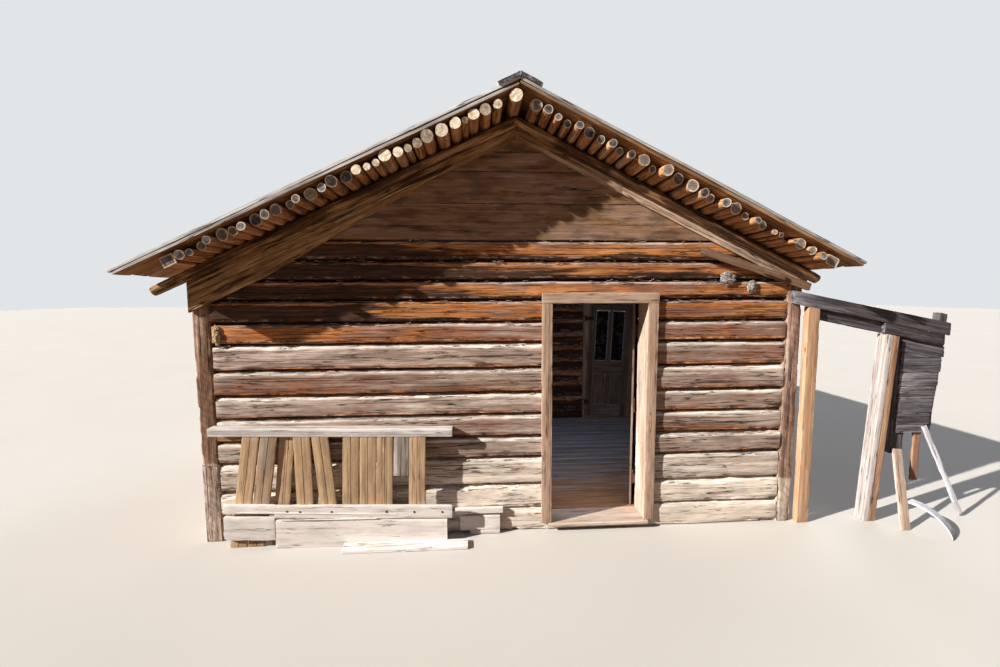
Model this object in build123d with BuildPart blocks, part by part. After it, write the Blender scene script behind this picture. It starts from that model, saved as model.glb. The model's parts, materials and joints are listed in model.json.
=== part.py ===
from build123d import *
from math import atan2, cos, degrees, radians, sin, sqrt, tan
import os

# A gable-fronted log cabin with a pole roof, an open front doorway, a bench along
# the front and the remains of a lean-to at the right corner.
# Millimetres. X runs along the front to the right, Y runs from the front to the back,
# Z is up. The origin is the middle of the front wall, on the ground.

# House
house_width = 5430.0
house_depth = 3650.0
log_thickness = 200.0
post_width = 150.0
post_edge = 12.0
# Heights of the joints between the log courses, from the ground
course_tops = [215, 440, 700, 895, 1100, 1303, 1525, 1755, 1942, 2135, 2310, 2480, 2660]
upper_courses = 3
side_wall_courses = len(course_tops) - upper_courses
wane = 19.0
wane_depth = 44.0
log_unevenness = 7.0
seat = 0.3

# Gable
gable_board_tops = [2970, 3240, 3405]
gable_board_thickness = 30.0

# Roof form: the line on which the roof poles lie, over the rafters and the gable walls
ridge_x = 50.0
bearing_apex = 3677.0
left_pitch = 25.2
right_pitch = 25.8
rafter_diameter = 86.0
left_rafter_tail = 240.0
right_rafter_tail = 62.0
rafter_overrun = 60.0
pole_overhang = 365.0
pole_unevenness = 45.0
ridge_pole_radius = 54.0
ridge_pole_overhang = 190.0
# The ridge pole lies a little off the ridge, and the slopes' poles start at a gap from it
ridge_pole_shift = -28.0
left_pole_gap = 5.5
right_pole_gap = 16.0
left_first_gap = 86.0
right_first_gap = 14.0
# Radii of the roof poles, in order from the ridge to the eaves
left_pole_radii = [38, 47, 49, 30, 48, 54, 54, 40, 34, 44, 54, 33, 33, 42, 54, 50,
                   40, 54, 36, 40, 50, 40, 52, 38, 40, 54, 36, 42, 31, 42]
right_pole_radii = [54, 41, 33, 35, 36, 50, 37, 37, 39, 36, 54, 37, 49, 54, 54,
                    41, 40, 40, 54, 38, 32, 45, 24, 24, 20, 20, 54, 38, 38]
pole_flats = 16
purlin_width = 112.0
purlin_height = 86.0

# Roof boards, in two layers, running up the slope
roof_overhang = 400.0
left_eave = 290.0
right_eave = 170.0
roof_board_width = 196.0
roof_board_thickness = 26.0
roof_board_gap = 3.0
lower_layer_short = 15.0
cap_width = 200.0
cap_thickness = 30.0
cap_past = 12.0

# Rake boards on the gable walls, under the rafters
rake_thickness = 28.0
rake_depth = 155.0
rake_lap = 5.0
rake_foot_depth = 300.0
rake_foot_run = 640.0
rake_taper_end = 680.0
rake_splice = 930.0

# Floor
floor_top = 80.0
floor_board_width = 150.0
floor_board_thickness = 28.0
floor_board_gap = 2.0
joist_width = 80.0
joist_pitch = 900.0

# Front doorway
door_x = 815.0
door_width = 880.0
door_head = 25.0
door_height = course_tops[side_wall_courses - 1] - door_head - floor_top
jamb_thickness = 30.0
jamb_projection = 40.0
casing_width = 90.0
casing_thickness = 26.0
casing_lap = 6.0
casing_head_lap = 8.0
threshold_nose = 60.0
leaf_thickness = 35.0
leaf_gap = 6.0
ledge_width = 140.0
leaf_board_count = 5
front_door_open = 112.0

# Back doorway
back_door_x = 1950.0
back_door_width = 800.0
back_door_head = 95.0
back_door_height = course_tops[side_wall_courses - 1] - back_door_head - floor_top
back_leaf_margin = 100.0
back_leaf_head_gap = 33.5
back_leaf_lean = 2.5
stop_thickness = 30.0
stop_lap = 14.0
stop_clearance = 6.0
stile_width = 105.0
lock_rail_height = 790.0
lock_rail_depth = 235.0
bottom_rail_depth = 210.0
panel_thickness = 12.0
glass_thickness = 4.0

# Hinges
knuckle_radius = 8.0
pin_radius = 4.0
pin_clearance = 0.3
knuckle_length = 60.0
end_knuckle = 15.0
strap_thickness = 3.0
strap_length = 70.0
hinge_inset = 280.0
hinge_plate = 30.0

# Bench along the front, left of the doorway. Its shelf falls a little to the right.
shelf_left = -2585.0
shelf_right = -519.0
shelf_left_top = 1061.0
shelf_fall = 48.0
shelf_depth = 115.0
shelf_thickness = 68.0
shelf_nose = 6.0
bench_board_width = 143.0
narrow_board_width = 131.0
bench_board_thickness = 22.0
# Left edge of the first board at two heights
bench_high = 900.0
bench_low = 370.0
bench_start_high = -2315.0
bench_start_low = -2398.0
# Gap before each board at those two heights, whether it is narrow, its lower end, and how far it is set back
bench_boards_laid = [
    (0, 0, False, 0, 0), (7, 6, False, 0, 0), (5, 34, True, 0, 26), (5, 67, False, 0, 0),
    (16, 55, False, 0, 0), (113, 49, False, 0, 0), (2, 2, False, 0, 0), (2, 2, False, 0, 0),
    (4, 4, True, 602, 0), (3, 6, False, 0, 0),
]

# Planks along the foot of the bench, falling to the right like the shelf
base_left = -2475.0
base_joint_x = -2050.0
base_right = -526.0
base_lower_right = -572.0
base_left_top = 399.0
base_fall = 0.035
base_strip_depth = 116.0
base_plank_gap = 9.0
base_plank_thickness = 38.0
left_strip_depth = 76.0
left_plank_drop = 103.0
left_plank_bottom = 88.0
# Left end, right end, foot and top of each plank that is set back against the sill
set_back_planks = [(-505, -69, 196, 250), (-461, -97, 40, 174), (-372, -98, 0, 38)]
ground_plank_left = -1465.0
ground_plank_right = -389.0
ground_plank_width = 130.0
ground_plank_thickness = 30.0

# Plank nailed over the right corner, with a short piece beside its foot
corner_plank_head_inset = 1013.0
corner_plank_head_drop = 306.4
corner_plank_past = 22.0
corner_plank_foot_drop = 136.0
corner_plank_width = 72.0
corner_plank_thickness = 26.0
corner_piece_start = 600.0
corner_piece_length = 215.0
corner_piece_width = 48.0

# Lean-to at the right corner. Its header slopes down from under the eave. Reaches are measured
# outwards from the corner of the house.
header_lap = 115.0
header_reach = 1435.0
header_under_eave = 197.0
header_depth = 118.0
header_thickness = 45.0
header_slope = 11.3
lapped_start = 785.0
lapped_depth = 105.0
lapped_short = 50.0
beam_thickness = 70.0
beam_rise = 20.0
prop_width = 110.0
prop_gap = 34.0
jamb_foot_reach = 743.0
jamb_head_reach = 857.0
lean_jamb_width = 118.0
lean_jamb_depth = 84.0
lean_jamb_board = 34.0
lean_jamb_proud = 20.0
panel_gap = 74.0
panel_joints = [848, 926, 1043, 1179, 1295, 1430, 1573, 1800]
panel_joint_gap = 0.5
panel_board_thickness = 22.0
panel_foot_reach = 1307.0
panel_step = 18.0
back_board_width = 130.0
back_board_bottom = 640.0
end_batten_width = 80.0
end_batten_foot_reach = 1320.0
end_batten_past = 10.0
end_batten_bottom = 850.0
end_batten_rise = 80.0
prop_board_head_reach = 1020.0
prop_board_head_z = 690.0
prop_board_foot_reach = 940.0
prop_board_width = 92.0
prop_board_lean = 18.0
prop_board_gap = 1.0
hanging_board_inset = 69.0
hanging_board_width = 70.0
hanging_board_length = 560.0
brace_head_inset = 53.0
brace_head_z = 920.0
brace_foot_reach = 1711.0
brace_foot_z = 24.0
brace_width = 45.0
brace_thickness = 24.0
bowed_plank_rise = 240.0
bowed_plank_reach = 330.0
bowed_plank_sag = 62.0
bowed_plank_width = 90.0
bowed_plank_thickness = 20.0
bowed_plank_turn = 60.0

# Values worked out from the sizes above
half_width = house_width / 2
front_face = -log_thickness / 2
back_y = house_depth - log_thickness
back_face = back_y + log_thickness / 2
room_front = log_thickness / 2
room_back = back_y - log_thickness / 2
post_inner = half_width - post_width
pitch = {-1: left_pitch, 1: right_pitch}
pole_layer = 2 * max(left_pole_radii + right_pole_radii) + 2 * seat
jamb_front = front_face - log_unevenness
roof_front = front_face - roof_overhang
roof_back = back_face + roof_overhang
leaf_offset = knuckle_radius + 1.0
back_leaf_width = back_door_width - back_leaf_margin
back_leaf_rise = back_leaf_width * sin(radians(back_leaf_lean))
back_leaf_height = back_door_height - leaf_gap - back_leaf_rise - back_leaf_head_gap


def bearing(x):
    """Height of the line that the roof poles lie on, at x."""
    side = -1 if x < ridge_x else 1
    return bearing_apex - abs(x - ridge_x) * tan(radians(pitch[side]))


def save(builder, name):
    builder.part.label = name
    export_step(builder.part, f"parts/{name}.step")


def under_roof(drop=seat):
    """Keeps what lies under the roof poles, of the part being built."""
    reach = house_width
    with BuildSketch(Plane.XZ) as profile:
        with BuildLine():
            Polyline(
                (-reach, -reach), (reach, -reach), (reach, bearing(reach) - drop),
                (ridge_x, bearing_apex - drop), (-reach, bearing(-reach) - drop),
                close=True,
            )
        make_face()
    extrude(profile.sketch, amount=2 * house_depth, both=True, mode=Mode.INTERSECT)


def block(x0, x1, y0, y1, z0, z1, mode=Mode.ADD):
    """A squared timber between two corners."""
    with Locations(((x0 + x1) / 2, (y0 + y1) / 2, (z0 + z1) / 2)):
        Box(x1 - x0, y1 - y0, z1 - z0, mode=mode)


def proud(course):
    """How far the outer face of one course stands in front of the wall's face."""
    return log_unevenness * sin(2.3 * course)


def hewn_section(middle, outward, low, high, course):
    """Section of a hewn log with waney edges, drawn as (across, up).

    The face towards the room is flat. The outer face stands in or out a little."""
    inner = middle - outward * log_thickness / 2
    outer = middle + outward * (log_thickness / 2 + proud(course))
    top, bottom = high - seat / 2, low + seat / 2
    outer_shoulder = outer - outward * wane_depth
    inner_shoulder = inner + outward * wane
    Polygon(
        (inner_shoulder, bottom), (outer_shoulder, bottom), (outer, bottom + wane), (outer, top - wane),
        (outer_shoulder, top), (inner_shoulder, top), (inner, top - wane), (inner, bottom + wane),
        align=None,
    )


def logs_along_x(x0, x1, middle, outward, first, last):
    """Courses first to last of the front or back wall, counted from 0 at the sill."""
    with BuildSketch(Plane.YZ.offset(x0)) as sections:
        for course in range(first, last + 1):
            hewn_section(middle, outward, course_tops[course - 1], course_tops[course], course + 3 * (x0 > 0))
    extrude(sections.sketch, amount=x1 - x0)


def logs_along_y(y0, y1, middle, outward, first, last):
    """Courses first to last of a side wall."""
    with BuildSketch(Plane.XZ.offset(-y1)) as sections:
        for course in range(first, last + 1):
            hewn_section(middle, outward, course_tops[course - 1], course_tops[course], course + 5)
    extrude(sections.sketch, amount=y1 - y0)


os.makedirs("parts", exist_ok=True)

# Sill logs, the bottom course, notched down under both doorways
door_left = door_x - door_width / 2
door_right = door_x + door_width / 2
rough_left = door_left - jamb_thickness - seat
rough_right = door_right + jamb_thickness + seat
back_left = back_door_x - back_door_width / 2
back_right = back_door_x + back_door_width / 2
back_rough_left = back_left - jamb_thickness - seat
back_rough_right = back_right + jamb_thickness + seat
threshold_bottom = floor_top - floor_board_thickness
rough_cut = log_thickness + 4 * log_unevenness

with BuildPart() as sill_logs:
    for middle in (0.0, back_y):
        block(-post_inner + seat, post_inner - seat, middle - log_thickness / 2,
              middle + log_thickness / 2, 0, course_tops[0] - seat)
    for side in (-1, 1):
        middle = side * (half_width - log_thickness / 2)
        block(middle - log_thickness / 2, middle + log_thickness / 2,
              room_front + seat, room_back - seat, 0, course_tops[0] - seat)
    for left, right, middle in ((rough_left, rough_right, 0), (back_rough_left, back_rough_right, back_y)):
        block(left, right, middle - rough_cut / 2, middle + rough_cut / 2,
              threshold_bottom - seat, 2 * course_tops[0], mode=Mode.SUBTRACT)
save(sill_logs, "sill_logs")

# Front wall, in three sections round the doorway
last_lower = side_wall_courses - 1
last_upper = last_lower + upper_courses

with BuildPart() as front_left_logs:
    logs_along_x(-post_inner + seat, rough_left, 0, -1, 1, last_lower)
save(front_left_logs, "front_left_logs")

with BuildPart() as front_right_logs:
    logs_along_x(rough_right, post_inner - seat, 0, -1, 1, last_lower)
save(front_right_logs, "front_right_logs")

with BuildPart() as front_upper_logs:
    logs_along_x(-post_inner + seat, post_inner - seat, 0, -1, side_wall_courses, last_upper)
    under_roof()
save(front_upper_logs, "front_upper_logs")

# Back wall, in three sections round its doorway
with BuildPart() as back_left_logs:
    logs_along_x(-post_inner + seat, back_rough_left, back_y, 1, 1, last_lower)
save(back_left_logs, "back_left_logs")

with BuildPart() as back_right_logs:
    logs_along_x(back_rough_right, post_inner - seat, back_y, 1, 1, last_lower)
save(back_right_logs, "back_right_logs")

with BuildPart() as back_upper_logs:
    logs_along_x(-post_inner + seat, post_inner - seat, back_y, 1, side_wall_courses, last_upper)
    under_roof()
save(back_upper_logs, "back_upper_logs")

# Side walls, with the top plate cut to the slope of the roof
for side, name in ((-1, "left_wall_logs"), (1, "right_wall_logs")):
    with BuildPart() as side_logs:
        middle = side * (half_width - log_thickness / 2)
        logs_along_y(room_front + seat, room_back - seat, middle, side, 1, side_wall_courses + 1)
        under_roof()
    save(side_logs, name)

# Corner posts, with the renewed foot of the front left one as a piece of its own
post_splice = 700.0
for side, sx in (("left", -1), ("right", 1)):
    for face, y0 in (("front", front_face), ("back", room_back)):
        with BuildPart() as post:
            x0, x1 = sorted((sx * post_inner, sx * half_width))
            spliced = side == "left" and face == "front"
            foot_top = post_splice if spliced else 0.0
            block(x0, x1, y0, y0 + log_thickness, foot_top, bearing_apex)
            if spliced:
                block(x0, x1, y0, y0 + log_thickness, 0, foot_top - seat)
            chamfer(post.edges().filter_by(Axis.Z), post_edge)
            under_roof()
        save(post, f"{face}_{side}_post")

# Gable boards over the top log
gable_base = course_tops[last_upper]
for face, y0 in (("front", jamb_front), ("back", back_face + log_unevenness - gable_board_thickness)):
    with BuildPart() as boards:
        low = gable_base + seat
        for high in [top for top in gable_board_tops if top < bearing_apex] + [bearing_apex]:
            block(-half_width, half_width, y0, y0 + gable_board_thickness, low, high - seat)
            low = high
        under_roof()
    save(boards, f"{face}_gable_boards")


def left_rake():
    """The left rake board: plumb cut at the ridge, and deeper towards the eave."""
    outer = -half_width - rake_lap
    depth, foot_depth = (size / cos(radians(left_pitch)) for size in (rake_depth, rake_foot_depth))
    widest, narrow = rake_foot_run - half_width, -rake_taper_end
    start = ridge_x - seat
    Polygon(
        (start, bearing(start) - seat), (outer, bearing(outer) - seat), (outer, bearing(outer) - foot_depth),
        (widest, bearing(widest) - foot_depth), (narrow, bearing(narrow) - depth),
        (start, bearing(start) - depth), align=None,
    )


def right_rake(x0, x1):
    """A length of the right rake board, which is spliced from two."""
    depth = rake_depth / cos(radians(right_pitch))
    Polygon((x0, bearing(x0) - seat), (x1, bearing(x1) - seat), (x1, bearing(x1) - depth),
            (x0, bearing(x0) - depth), align=None)


# Rake boards on the wall faces
for face, y0, out in (("front", front_face - log_unevenness, -1), ("back", back_face + log_unevenness, 1)):
    with BuildPart() as rakes:
        with BuildSketch(Plane.XZ.offset(-y0)) as outline:
            left_rake()
            right_rake(ridge_x + seat, ridge_x + rake_splice)
            right_rake(ridge_x + rake_splice + seat, half_width + rake_lap)
        extrude(outline.sketch, amount=-out * rake_thickness)
    save(rakes, f"{face}_rake_boards")

# Rafter poles outside the rake boards, meeting in a plumb cut at the ridge
rafter_radius = rafter_diameter / 2
rafter_tail = {-1: left_rafter_tail, 1: right_rafter_tail}
for face, outside, out in (("front", front_face, -1), ("back", back_face, 1)):
    rafter_y = outside + out * (log_unevenness + rake_thickness + seat + rafter_radius)
    with BuildPart() as rafters:
        for side in (-1, 1):
            angle = radians(pitch[side])
            tail_x = side * (half_width + rafter_tail[side])
            drop = (rafter_radius + seat) / cos(angle)
            foot = Vector(tail_x, rafter_y, bearing(tail_x) - drop)
            over = ridge_x - side * rafter_overrun
            top_z = bearing_apex + rafter_overrun * tan(angle) - drop
            along = Vector(over, rafter_y, top_z) - foot
            with BuildSketch(Plane(origin=foot, z_dir=along)) as section:
                Circle(rafter_radius)
            near, far = ridge_x + side * seat, side * house_width
            with BuildSketch(Plane.XZ.offset(-rafter_y)) as keep:
                Polygon((near, 0), (far, 0), (far, 2 * bearing_apex), (near, 2 * bearing_apex), align=None)
            pole = extrude(section.sketch, amount=along.length, mode=Mode.PRIVATE)
            half = extrude(keep.sketch, amount=house_width, both=True, mode=Mode.PRIVATE)
            add(pole & half)
    save(rafters, f"{face}_rafters")

# Ridge pole, lying on the left slope beside the ridge
pole_front = front_face - pole_overhang
pole_back = back_face + pole_overhang
ridge_pole_x = ridge_x + ridge_pole_shift
ridge_pole_z = bearing(ridge_pole_x) + (ridge_pole_radius + seat) / cos(radians(left_pitch))
ridge_front = front_face - ridge_pole_overhang
ridge_back = back_face + ridge_pole_overhang
with BuildPart() as ridge_pole:
    with BuildSketch(Plane.XZ.offset(-ridge_front)) as section:
        with Locations((ridge_pole_x, ridge_pole_z)):
            Circle(ridge_pole_radius)
    extrude(section.sketch, amount=-(ridge_back - ridge_front))
save(ridge_pole, "ridge_pole")


def on_slope(side, run, rise):
    """The point at a distance down the slope from the ridge, and above the bearing line."""
    angle = radians(pitch[side])
    x = ridge_x + side * (run * cos(angle) + rise * sin(angle))
    z = bearing_apex - run * sin(angle) + rise * cos(angle)
    return x, z


# Roof poles side by side down each slope, with a squared purlin as the last one
for side, name, radii, first_gap, pole_gap in (
    (-1, "left_roof_poles", left_pole_radii, left_first_gap, left_pole_gap),
    (1, "right_roof_poles", right_pole_radii, right_first_gap, right_pole_gap),
):
    with BuildPart() as poles:
        run = ridge_pole_radius + first_gap
        for count, radius in enumerate(radii):
            run += radius
            x, z = on_slope(side, run, radius + seat)
            front = pole_front + pole_unevenness * sin(2.4 * count + side)
            back = pole_back + pole_unevenness * cos(1.9 * count + side)
            with BuildSketch(Plane.XZ.offset(-front)) as section:
                with Locations((x, z)):
                    RegularPolygon(radius, pole_flats, rotation=-side * pitch[side])
            extrude(section.sketch, amount=-(back - front))
            run += radius + pole_gap
        run += purlin_width / 2
        x, z = on_slope(side, run, purlin_height / 2 + seat)
        with BuildSketch(Plane.XZ.offset(-pole_front)) as section:
            with Locations((x, z)):
                Rectangle(purlin_width, purlin_height, rotation=-side * pitch[side])
        extrude(section.sketch, amount=-(pole_back - pole_front))
    save(poles, name)


def roof_boards(side, eave_run, layer):
    """One layer of boards running up the slope, laid side by side from front to back."""
    low = pole_layer + layer * (roof_board_thickness + seat)
    high = low + roof_board_thickness
    plumb = tan(radians(pitch[side]))
    shift = layer * roof_board_width / 2
    y = roof_front - shift
    while y < roof_back - seat:
        y0 = max(y, roof_front)
        y1 = min(y + roof_board_width - roof_board_gap, roof_back)
        outline = (seat - low * plumb, low), (eave_run, low), (eave_run, high), (seat - high * plumb, high)
        corners = [on_slope(side, run, rise) for run, rise in outline]
        if y1 - y0 > 3 * roof_board_gap:
            with BuildSketch(Plane.XZ.offset(-y0)) as section:
                Polygon(*corners, align=None)
            extrude(section.sketch, amount=-(y1 - y0))
        y += roof_board_width


eave_run = {}
for side, eave in ((-1, left_eave), (1, right_eave)):
    eave_run[side] = (half_width + eave - side * ridge_x) / cos(radians(pitch[side]))

for side, word in ((-1, "left"), (1, "right")):
    for layer, kind in ((0, "boards"), (1, "cover")):
        with BuildPart() as boards:
            roof_boards(side, eave_run[side] - (1 - layer) * lower_layer_short, layer)
        save(boards, f"{word}_roof_{kind}")

# Ridge cap: two boards along the ridge, meeting over it
cover_top = pole_layer + 2 * roof_board_thickness + seat
with BuildPart() as ridge_cap:
    for side in (-1, 1):
        plumb = tan(radians(pitch[side]))
        low, high = cover_top + seat, cover_top + seat + cap_thickness
        lower_edge = cap_width - high * plumb
        outline = ((seat - low * plumb, low), (lower_edge, low), (lower_edge, high),
                   (seat - high * plumb, high))
        corners = [on_slope(side, run, rise) for run, rise in outline]
        with BuildSketch(Plane.XZ.offset(-roof_front + cap_past)) as section:
            Polygon(*corners, align=None)
        extrude(section.sketch, amount=-(roof_back - roof_front + 2 * cap_past))
save(ridge_cap, "ridge_cap")

jamb_back = room_front + jamb_projection

# Floor boards running left to right on joists that run front to back
with BuildPart() as floor_joists:
    joist_count = int((house_width - 2 * log_thickness) // joist_pitch)
    for count in range(joist_count + 1):
        x = (count - joist_count / 2) * joist_pitch
        block(x - joist_width / 2, x + joist_width / 2, room_front + seat, room_back - seat,
              0, threshold_bottom - seat)
save(floor_joists, "floor_joists")

with BuildPart() as floor_boards:
    room_half = half_width - log_thickness - seat
    y = room_front + seat
    end = room_back - seat
    while y < end - floor_board_gap:
        y1 = min(y + floor_board_width - floor_board_gap, end)
        block(-room_half, room_half, y, y1, threshold_bottom, floor_top)
        y += floor_board_width
    block(rough_left, rough_right, 0, jamb_back + seat, 0, 2 * floor_top, mode=Mode.SUBTRACT)
    block(back_rough_left, back_rough_right, room_back - jamb_projection - seat, back_y, 0, 2 * floor_top,
          mode=Mode.SUBTRACT)
save(floor_boards, "floor_boards")

# Front door frame: two jambs, a head, a threshold and the casing boards
head_z = floor_top + door_height
with BuildPart() as front_door_frame:
    for x0, x1 in ((door_left - jamb_thickness, door_left), (door_right, door_right + jamb_thickness)):
        block(x0, x1, jamb_front, jamb_back, floor_top, head_z)
    block(door_left - jamb_thickness, door_right + jamb_thickness, jamb_front, jamb_back,
          head_z, course_tops[last_lower] - seat)
    block(rough_left + seat, rough_right - seat, front_face - threshold_nose, jamb_back,
          threshold_bottom, floor_top)
save(front_door_frame, "front_door_frame")

with BuildPart() as front_door_casing:
    y1 = jamb_front - seat
    y0 = y1 - casing_thickness
    for x0, x1 in ((door_left - casing_width, door_left + casing_lap),
                   (door_right - casing_lap, door_right + casing_width)):
        block(x0, x1, y0, y1, floor_top + seat, head_z - casing_head_lap)
    block(door_left - casing_width, door_right + casing_width, y0, y1, head_z - casing_head_lap + seat,
          head_z + casing_width)
save(front_door_casing, "front_door_casing")

# Front door leaf: upright boards on three ledges, drawn from the hinge line along local X
front_hinge = Vector(door_right, jamb_back + leaf_offset, 0)
open_turn = radians(180 - front_door_open)
front_plane = Plane(origin=front_hinge, x_dir=(cos(open_turn), sin(open_turn), 0), z_dir=(0, 0, 1))
leaf_width = door_width - 2 * leaf_gap
leaf_bottom = floor_top + leaf_gap
leaf_top = head_z - leaf_gap
ledge_thickness = 0.4 * leaf_thickness
board_step = leaf_width / leaf_board_count
with BuildPart(front_plane) as front_door:
    for count in range(leaf_board_count):
        x0 = leaf_gap + count * board_step
        block(x0, x0 + board_step, leaf_offset + ledge_thickness, leaf_offset + leaf_thickness,
              leaf_bottom, leaf_top)
    for middle in (leaf_bottom + hinge_inset, (leaf_bottom + leaf_top) / 2, leaf_top - hinge_inset):
        block(leaf_gap, leaf_gap + leaf_width, leaf_offset, leaf_offset + ledge_thickness + 1,
              middle - ledge_width / 2, middle + ledge_width / 2)
save(front_door, "front_door")


def straps(heights, reach):
    """The moving halves of the hinges: a knuckle round the pin and a strap to the leaf."""
    for z, length in zip(heights, reach):
        with Locations((0, 0, z)):
            Cylinder(knuckle_radius, knuckle_length)
        block(0, length, leaf_offset - strap_thickness - seat, leaf_offset - seat,
              z - knuckle_length / 2, z + knuckle_length / 2)
        with Locations((0, 0, z)):
            Cylinder(pin_radius + pin_clearance, knuckle_length, mode=Mode.SUBTRACT)


def pins(heights, jamb_side):
    """The fixed halves: a pin with an end knuckle above and below, and plates on the jamb."""
    shift = knuckle_length / 2 + pin_clearance + end_knuckle / 2
    for z in heights:
        with Locations((0, 0, z)):
            Cylinder(pin_radius, knuckle_length + 2 * (pin_clearance + end_knuckle))
        for up in (-1, 1):
            with Locations((0, 0, z + up * shift)):
                Cylinder(knuckle_radius, end_knuckle)
            block(*sorted((0, -jamb_side * hinge_plate)), leaf_offset - strap_thickness - seat, leaf_offset - seat,
                  z + up * shift - end_knuckle / 2, z + up * shift + end_knuckle / 2)


front_hinge_heights = (leaf_bottom + hinge_inset, leaf_top - hinge_inset)
with BuildPart(front_plane) as front_door_straps:
    straps(front_hinge_heights, (strap_length, strap_length))
save(front_door_straps, "front_door_straps")

with BuildPart(Plane(origin=front_hinge, x_dir=(-1, 0, 0), z_dir=(0, 0, 1))) as front_hinge_pins:
    pins(front_hinge_heights, 1)
save(front_hinge_pins, "front_hinge_pins")

# Back door frame and leaf: a panelled leaf with two tall lights, hanging out of true
back_head_z = floor_top + back_door_height
back_jamb_front = room_back - jamb_projection
with BuildPart() as back_door_frame:
    y1 = back_face + log_unevenness
    for x0, x1 in ((back_left - jamb_thickness, back_left), (back_right, back_right + jamb_thickness)):
        block(x0, x1, back_jamb_front, y1, floor_top, back_head_z)
    block(back_left - jamb_thickness, back_right + jamb_thickness, back_jamb_front, y1,
          back_head_z, course_tops[last_lower] - seat)
    block(back_rough_left + seat, back_rough_right - seat, back_jamb_front, y1 + threshold_nose,
          threshold_bottom, floor_top)
    # Stops behind the leaf, wide enough to close the gaps that its lean leaves
    stop_front = back_jamb_front + leaf_thickness + stop_clearance
    stop_back = stop_front + stop_thickness
    left_stop = leaf_gap + back_leaf_height * sin(radians(back_leaf_lean)) + stop_lap
    right_stop = back_leaf_margin - leaf_gap + stop_lap
    head_stop = back_leaf_head_gap + back_leaf_rise + stop_lap
    foot_stop = leaf_gap + back_leaf_rise + stop_lap
    block(back_left, back_left + left_stop, stop_front, stop_back, floor_top, back_head_z)
    block(back_right - right_stop, back_right, stop_front, stop_back, floor_top, back_head_z)
    block(back_left, back_right, stop_front, stop_back, back_head_z - head_stop, back_head_z)
    block(back_left, back_right, stop_front, stop_back, floor_top, floor_top + foot_stop)
save(back_door_frame, "back_door_frame")

with BuildPart() as back_door_casing:
    y0 = back_face + log_unevenness + seat
    y1 = y0 + casing_thickness
    for x0, x1 in ((back_left - casing_width, back_left), (back_right, back_right + casing_width)):
        block(x0, x1, y0, y1, floor_top + threshold_bottom, back_head_z - seat)
    block(back_left - casing_width, back_right + casing_width, y0, y1, back_head_z,
          back_head_z + casing_width)
save(back_door_casing, "back_door_casing")

back_hinge = Vector(back_left, back_jamb_front - leaf_offset, 0)
lean = radians(back_leaf_lean)
foot_z = floor_top + leaf_gap + back_leaf_rise
leaf_origin = back_hinge + Vector(leaf_gap, leaf_offset, foot_z)
leaf_plane = Plane(origin=leaf_origin, x_dir=(cos(lean), 0, -sin(lean)), z_dir=(0, -1, 0))
light_width = (back_leaf_width - 2.6 * stile_width) / 2
light_top = back_leaf_height - stile_width
light_bottom = lock_rail_height + lock_rail_depth - floor_top
lower_top = lock_rail_height - floor_top
light_centres = [stile_width + light_width / 2, back_leaf_width - stile_width - light_width / 2]


def lights(margin, low, high, mode=Mode.ADD):
    """The two openings side by side in the back leaf, between two heights on the leaf."""
    for x in light_centres:
        with Locations((x, (low + high) / 2)):
            Rectangle(light_width + 2 * margin, high - low + 2 * margin, mode=mode)


with BuildPart() as back_door:
    with BuildSketch(leaf_plane) as outline:
        with Locations((back_leaf_width / 2, back_leaf_height / 2)):
            Rectangle(back_leaf_width, back_leaf_height)
        lights(0, light_bottom, light_top, Mode.SUBTRACT)
        lights(0, bottom_rail_depth, lower_top, Mode.SUBTRACT)
    extrude(outline.sketch, amount=-leaf_thickness)
    with BuildSketch(leaf_plane.offset(-(leaf_thickness - panel_thickness) / 2)) as panels:
        lights(1, bottom_rail_depth, lower_top)
    extrude(panels.sketch, amount=-panel_thickness)
save(back_door, "back_door")

with BuildPart() as back_door_glass:
    with BuildSketch(leaf_plane.offset(-(leaf_thickness - glass_thickness) / 2)) as panes:
        lights(-seat, light_bottom, light_top)
    extrude(panes.sketch, amount=-glass_thickness)
save(back_door_glass, "back_door_glass")

back_hinge_heights = (floor_top + hinge_inset, back_head_z - hinge_inset)
upper_reach = strap_length + back_hinge_heights[1] * sin(lean)
with BuildPart(Plane(origin=back_hinge, x_dir=(1, 0, 0), z_dir=(0, 0, 1))) as back_door_straps:
    straps(back_hinge_heights, (strap_length, upper_reach))
save(back_door_straps, "back_door_straps")

with BuildPart(Plane(origin=back_hinge, x_dir=(1, 0, 0), z_dir=(0, 0, 1))) as back_hinge_pins:
    pins(back_hinge_heights, 1)
save(back_hinge_pins, "back_hinge_pins")

# Bench: a shelf on the wall, boards standing under its front edge, planks along the foot
shelf_course = min(count for count, top in enumerate(course_tops) if top > shelf_left_top)
bench_wall = front_face - proud(shelf_course) - seat
shelf_front = bench_wall - shelf_depth
shelf_slope = shelf_fall / (shelf_right - shelf_left)


def shelf_top(x):
    return shelf_left_top - (x - shelf_left) * shelf_slope


def base_top(x):
    return base_left_top - (x - base_left) * base_fall


def falling_plank(line, x0, x1, y_front, thickness, drop, depth):
    """A plank that follows a falling line: its upper edge a drop below it, its lower edge level at
    the ground where no depth is given."""
    low0, low1 = (line(x) - drop - depth if depth else 0 for x in (x0, x1))
    with BuildSketch(Plane.XZ.offset(-y_front)) as outline:
        Polygon((x0, line(x0) - drop), (x1, line(x1) - drop), (x1, low1), (x0, low0), align=None)
    extrude(outline.sketch, amount=-thickness)


with BuildPart() as bench_shelf:
    falling_plank(shelf_top, shelf_left, shelf_right, shelf_front, shelf_depth, 0, shelf_thickness)
save(bench_shelf, "bench_shelf")

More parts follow.
